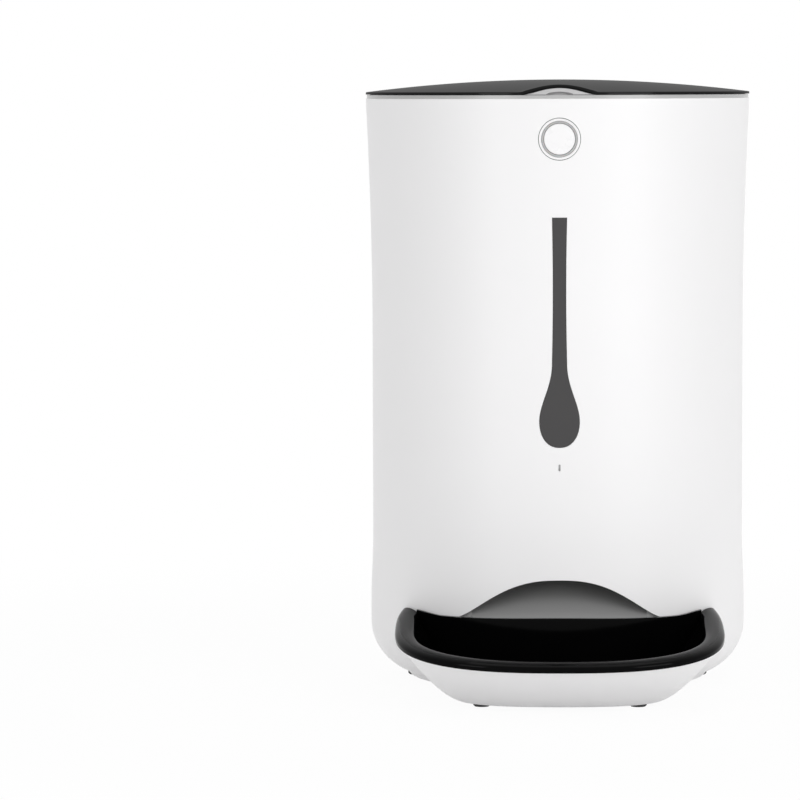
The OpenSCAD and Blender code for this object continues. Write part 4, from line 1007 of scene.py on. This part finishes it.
FOOT_R = 5 * MM
FOOT_IN = MM
FRONT_FOOT = (45 * MM, -130 * MM)
SIDE_FOOT = (BASE_R - FOOT_R - 1.5 * MM, 2 * MM)
REAR_X = DOOR_HALF_W + 10 * MM
REAR_FOOT = (REAR_X, math.sqrt((BASE_R - 2 * FOOT_R) ** 2 - REAR_X ** 2))
feet = [circle(FOOT_R + SEAT, side * x, AXIS_Y + y, n=48)
        for x, y in (FRONT_FOOT, SIDE_FOOT, REAR_FOOT) for side in (1, -1)]

HEAD_R = 4.1 * MM
HEAD_IN = 2 * MM
SCREW_REACH = BASE_R - 12 * MM
SCREW_ANGLES = (15, 165, 220, 320)
heads = [circle(HEAD_R, SCREW_REACH * math.cos(a), AXIS_Y + SCREW_REACH * math.sin(a), n=48)
         for a in (math.radians(d) for d in SCREW_ANGLES)]
for piece in (plate, boat):
    for outlines, high in ((grille, BASE_TOP + MM), (feet, FOOT_H + FOOT_IN), (heads, FOOT_H + HEAD_IN)):
        carve(piece, prisms("base_cutter", outlines, FOOT_H - MM, high))
stands_for(boat, "body", "base_tray")
stands_for(plate, "body", "base_tray")
print(len(grille), "grille holes,", len(feet), "feet and", len(heads), "screw heads")

# %% [markdown]
# ## The bowl
# The bowl lifts out of the cradle. It is polished black, kidney-shaped, with a broad rounded rim that
# tilts forward. A bevel could round the rim, but it might leave a crease where the rim meets the tub, so
# outside, rim and inside are one skin over rings.

# %% Bowl
BOWL_HALF_W = 54 * MM
BOWL_FRONT = 28 * MM
BOWL_POWER = 0.6
BOWL_Z = FOOT_H + 6 * MM
BOWL_WALL = 2.5 * MM
UNDER_ROUND = 0.6 * MM
ROLL_STEPS = 24
quarter = [math.pi / 2 * k / 8 for k in range(9)]


def rim_roll(angle):
    """A ring on the rim's rounded back, from its outer edge at 0 to its inner edge at half a turn."""
    return rim_ring(RIM_W / 2 * (1 - math.cos(angle)), RIM_DOME * (1 - math.sin(angle)))


def tub_rings(wall, depth):
    """Rings of the tub, drawn in by a wall, up to the rim's inner edge at a depth."""
    return swell(level_ring(BOWL_HALF_W, BOWL_FRONT, wall, BOWL_Z + wall),
                 rim_ring(RIM_W - BOWL_WALL + wall, depth), BOWL_POWER)


under = [rim_ring(UNDER_ROUND * (1 - math.sin(a)), RIM_T - UNDER_ROUND * (1 - math.cos(a))) for a in quarter]
roll = [rim_roll(math.pi * k / ROLL_STEPS) for k in range(ROLL_STEPS + 1)]
inside = tub_rings(BOWL_WALL, RIM_DOME)[-2::-1]
bowl = lofted("bowl_shell", tub_rings(0, RIM_T) + under + roll + inside, black_gloss)
print("bowl skin has", len(bowl.data.polygons), "faces")

# %% [markdown]
# The bowl's back is a round wall that follows the housing. It is turned, trimmed along its upper edge,
# limited to the middle of the tub's wall and joined on; then the room for the housing is carved out, so
# that back and tub end in the same round face.

# %% Back of the bowl
BAND_R = HIP_R + 1 * MM
BAND_IN = BAND_R - BOWL_WALL
BAND_OUT = BAND_R + BOWL_WALL
BAND_TOP, BAND_DIP, BAND_LIFT = 48.9 * MM, 1.2 * MM, 2 * MM
BAND_HIGH = 60 * MM
DIP_END = 62 * MM
LIFT_FROM, LIFT_SPAN = 68 * MM, 18 * MM
TRIM_HALF, TRIM_STEP = 120, 2
FAR = 0.2


def back_edge(x):
    """Height of the back's upper edge: it dips beside the chute and rises again to the rim's ends."""
    dip = BAND_DIP * ease(abs(x) / DIP_END)
    return BAND_TOP - dip + BAND_LIFT * ease((abs(x) - LIFT_FROM) / LIFT_SPAN)


back = turned("bowl_back", rectangle(BAND_IN, BAND_OUT, BOWL_Z, BAND_HIGH))
trim = [(x, back_edge(x)) for x in (i * MM for i in range(-TRIM_HALF, TRIM_HALF + 1, TRIM_STEP))]
trim += [(TRIM_HALF * MM, BAND_HIGH + MM), (-TRIM_HALF * MM, BAND_HIGH + MM)]
carve(back, prism("back_trim", trim, AXIS_Y - FAR, AXIS_Y + FAR))
mid_wall = tub_rings(BOWL_WALL / 2, RIM_T) + [rim_ring(RIM_W - BOWL_WALL / 2, -RIM_W)]
carve(back, lofted("back_limit", mid_wall), "INTERSECT")
carve(bowl, back, "UNION")
carve(bowl, turned("housing_room", rectangle(0, BAND_R, 0, FAR)))
stands_for(bowl, "bowl", "bowl")
print("bowl rim at y =", round(min(v.co.y for v in bowl.data.vertices), 4))

# %% [markdown]
# ## The lid and its latch
# The lid is a shallow black dome with a low rim. At the front it rises in a small brow over the latch
# button. A dome with a bump joined on would show a seam, so the face is one height field on a polar grid
# that stops at the hinge line in the rear.

# %% Lid
TOTAL_H = cad_box[1][2]
LID_H = 9 * MM
LID_EDGE_H = 1.7 * MM
LID_WALL = 2.2 * MM
LID_Z0 = TOTAL_H - LID_H + GAP
LID_END = 95 * MM
DOME_R = (TOP_R ** 2 + (LID_H - LID_EDGE_H) ** 2) / (2 * (LID_H - LID_EDGE_H))
LID_ROUND = 0.5 * MM
LID_RIM = 2.5 * MM
BROW_HALF_W, BROW_H, BROW_BACK, BROW_FADE = 29 * MM, 5.8 * MM, 80 * MM, 25 * MM
NOTCH_HALF_W, NOTCH_H, NOTCH_BACK = 23 * MM, 4.8 * MM, 101 * MM
LID_AROUND = 360
LID_RINGS = 46
HUB = 0.02


def lid_outline(inset, share=1.0):
    """Points of the lid's outline, round but cut straight at the hinge, at a share of its reach."""
    points = []
    for i in range(LID_AROUND):
        angle = 2 * math.pi * i / LID_AROUND
        s = math.sin(angle)
        limit = (LID_END - inset) / s if s > 1e-6 else 1.0
        r = min(TOP_R - inset, limit) * share
        points.append((r * math.cos(angle), r * s))
    return points


def lid_top(x, y):
    """Height of the lid's upper face over a point measured from the axis."""
    dome = TOTAL_H - DOME_R + math.sqrt(DOME_R ** 2 - x * x - y * y)
    fade = ease((-y - BROW_BACK) / BROW_FADE)
    brow = LID_Z0 + bell_at(x, BROW_HALF_W, BROW_H)
    return dome + max(0, brow - dome) * fade


def lid_ring(share, drop, inset):
    """A ring of the lid's face at a share of its reach."""
    return [(x, y + AXIS_Y, lid_top(x, y) - drop) for x, y in lid_outline(inset, share)]


def lid_foot(inset):
    """The lower edge of the lid's rim, raised over the latch."""
    return [(x, y + AXIS_Y, LID_Z0 + (bell_at(x, NOTCH_HALF_W, NOTCH_H) if y < -NOTCH_BACK else 0))
            for x, y in lid_outline(inset)]


top_rings = [lid_ring((k + HUB) / LID_RINGS, 0, LID_ROUND) for k in range(LID_RINGS)]
edge_rings = [lid_ring(1, LID_ROUND * (1 - math.cos(a)), LID_ROUND * (1 - math.sin(a))) for a in quarter]
under_rings = [lid_ring(share, LID_WALL, LID_RIM) for share in (1, 0.75, 0.5, 0.25, HUB)]
rings = top_rings + edge_rings + [lid_foot(0), lid_foot(LID_RIM)] + under_rings
lid = lofted("lid_dome", rings, lid_black)
stands_for(lid, "lid", "lid")
print("lid crown at z =", round(max(v.co.z for v in lid.data.vertices), 4))

# %% [markdown]
# The lid's hinge knuckles and the tooth that the latch catches are small moulded blocks under its edge.
# They could be joined to the dome by a boolean, but as pieces of their own on the lid's body they move
# with it all the same and leave its smooth rings alone.

# %% Hinge knuckles and catch of the lid
pin_low, pin_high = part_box("hinge_pin")
PIN_Y = (pin_low.y + pin_high.y) / 2
PIN_Z = (pin_low.z + pin_high.z) / 2
PIN_R = 1.25 * MM
KNUCKLE_R = 2.1 * MM
LEAF_IN, LEAF_OUT = 14 * MM, 40 * MM
WEB_IN, WEB_GAP, WEB_BELOW, WEB_ABOVE = 0.5 * MM, 0.1 * MM, 1.6 * MM, 1.2 * MM
TOOTH_HALF_W, TOOTH_DROP, TOOTH_ROUND = 4 * MM, 5 * MM, 0.4 * MM
TOOTH_FRONT, TOOTH_BACK = AXIS_Y - 104.6 * MM, AXIS_Y - 102.6 * MM


def knuckle_ring(x, r):
    """A circle round the hinge pin at x."""
    return [(x, y, z) for y, z in circle(r, PIN_Y, PIN_Z, n=40)]


web = rectangle(AXIS_Y + LID_END - WEB_IN, PIN_Y - PIN_R - WEB_GAP, PIN_Z - WEB_BELOW, PIN_Z + WEB_ABOVE)
for side, x0 in (("left", -LEAF_OUT), ("right", LEAF_IN)):
    x1 = x0 + LEAF_OUT - LEAF_IN
    tube = [knuckle_ring(x, r) for x, r in ((x0, KNUCKLE_R), (x1, KNUCKLE_R), (x1, PIN_R), (x0, PIN_R))]
    stands_for(lofted("lid_knuckle_" + side, tube, lid_black, capped=False), "lid", "lid")
    stands_for(prism("lid_web_" + side, web, x0, x1, "X", lid_black), "lid", "lid")
tooth = softened(rectangle(TOOTH_FRONT, TOOTH_BACK, BODY_TOP - TOOTH_DROP, LID_Z0 + MM), TOOTH_ROUND)
stands_for(prism("lid_catch", tooth, -TOOTH_HALF_W, TOOTH_HALF_W, "X", lid_black), "lid", "lid")
print("hinge pin at y =", round(PIN_Y, 4))

# %% [markdown]
# The latch button is pressed with one finger. Only its pale crescent shows; a neck through the deck joins
# it to the slider below, where the spring pushes it forward again. The crescent is pushed from the same
# bell as the lid's brow, and a drum keeps of it what lies inside the body's round front.

# %% Latch button
LATCH_HALF_W, LATCH_H, LATCH_BACK = 20 * MM, 3.7 * MM, 108 * MM
LATCH_SINK = 0.8 * MM
DRUM_LOW, DRUM_HIGH = 0.3, 0.4
SCOOP_HALF_W, SCOOP_DEEP, SCOOP_H = 8 * MM, 3.5 * MM, 2 * MM
SCOOP_RINGS, SCOOP_POINTS, POLE = 24, 32, 0.05
latch_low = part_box("latch_button")[0]
crescent = [(x, deck_high.z + GAP + h) for x, h in bell(LATCH_HALF_W, LATCH_H)]
latch = prism("latch_crescent", crescent, AXIS_Y - PAST_WALL, AXIS_Y - LATCH_BACK, "Y", latch_silver)
carve(latch, turned("latch_drum", rectangle(0, TOP_R - LATCH_SINK, DRUM_LOW, DRUM_HIGH)), "INTERSECT")
front_y = min(v.co.y for v in latch.data.vertices)


def scoop_ring(u):
    """A ring of the finger scoop, a flat egg across the latch's front."""
    return [(SCOOP_HALF_W * math.cos(u), front_y + SCOOP_DEEP * math.sin(u) * math.cos(v),
             deck_high.z + SCOOP_H * math.sin(u) * math.sin(v))
            for v in (2 * math.pi * i / SCOOP_POINTS for i in range(SCOOP_POINTS))]


turns = [math.pi * (k + POLE) / (SCOOP_RINGS + 2 * POLE) for k in range(SCOOP_RINGS + 1)]
carve(latch, lofted("finger_scoop", [scoop_ring(u) for u in turns]))
stands_for(latch, "latch", "latch_button")
print("latch front at y =", round(front_y, 4))

# %% [markdown]
# Slider and neck are plain blocks, mostly hidden under the deck.

# %% Slider and neck of the latch
SLIDER_HALF_W, SLIDER_FRONT, SLIDER_BACK = 12 * MM, 110 * MM, 107.4 * MM
NECK_HALF_W, NECK_FRONT, NECK_BACK = 8 * MM, 111.4 * MM, 108.2 * MM


def latch_block(name, half_w, front, back, low, high):
    """A block of the latch between two distances in front of the axis."""
    outline = rectangle(-half_w, half_w, AXIS_Y - front, AXIS_Y - back)
    stands_for(prism(name, outline, low, high, "Z", latch_silver), "latch", "latch_button")


latch_block("latch_slider", SLIDER_HALF_W, SLIDER_FRONT, SLIDER_BACK, latch_low.z, BODY_TOP - GAP)
latch_block("latch_neck", NECK_HALF_W, NECK_FRONT, NECK_BACK, BODY_TOP - MM, deck_high.z + MM)
print("latch made")
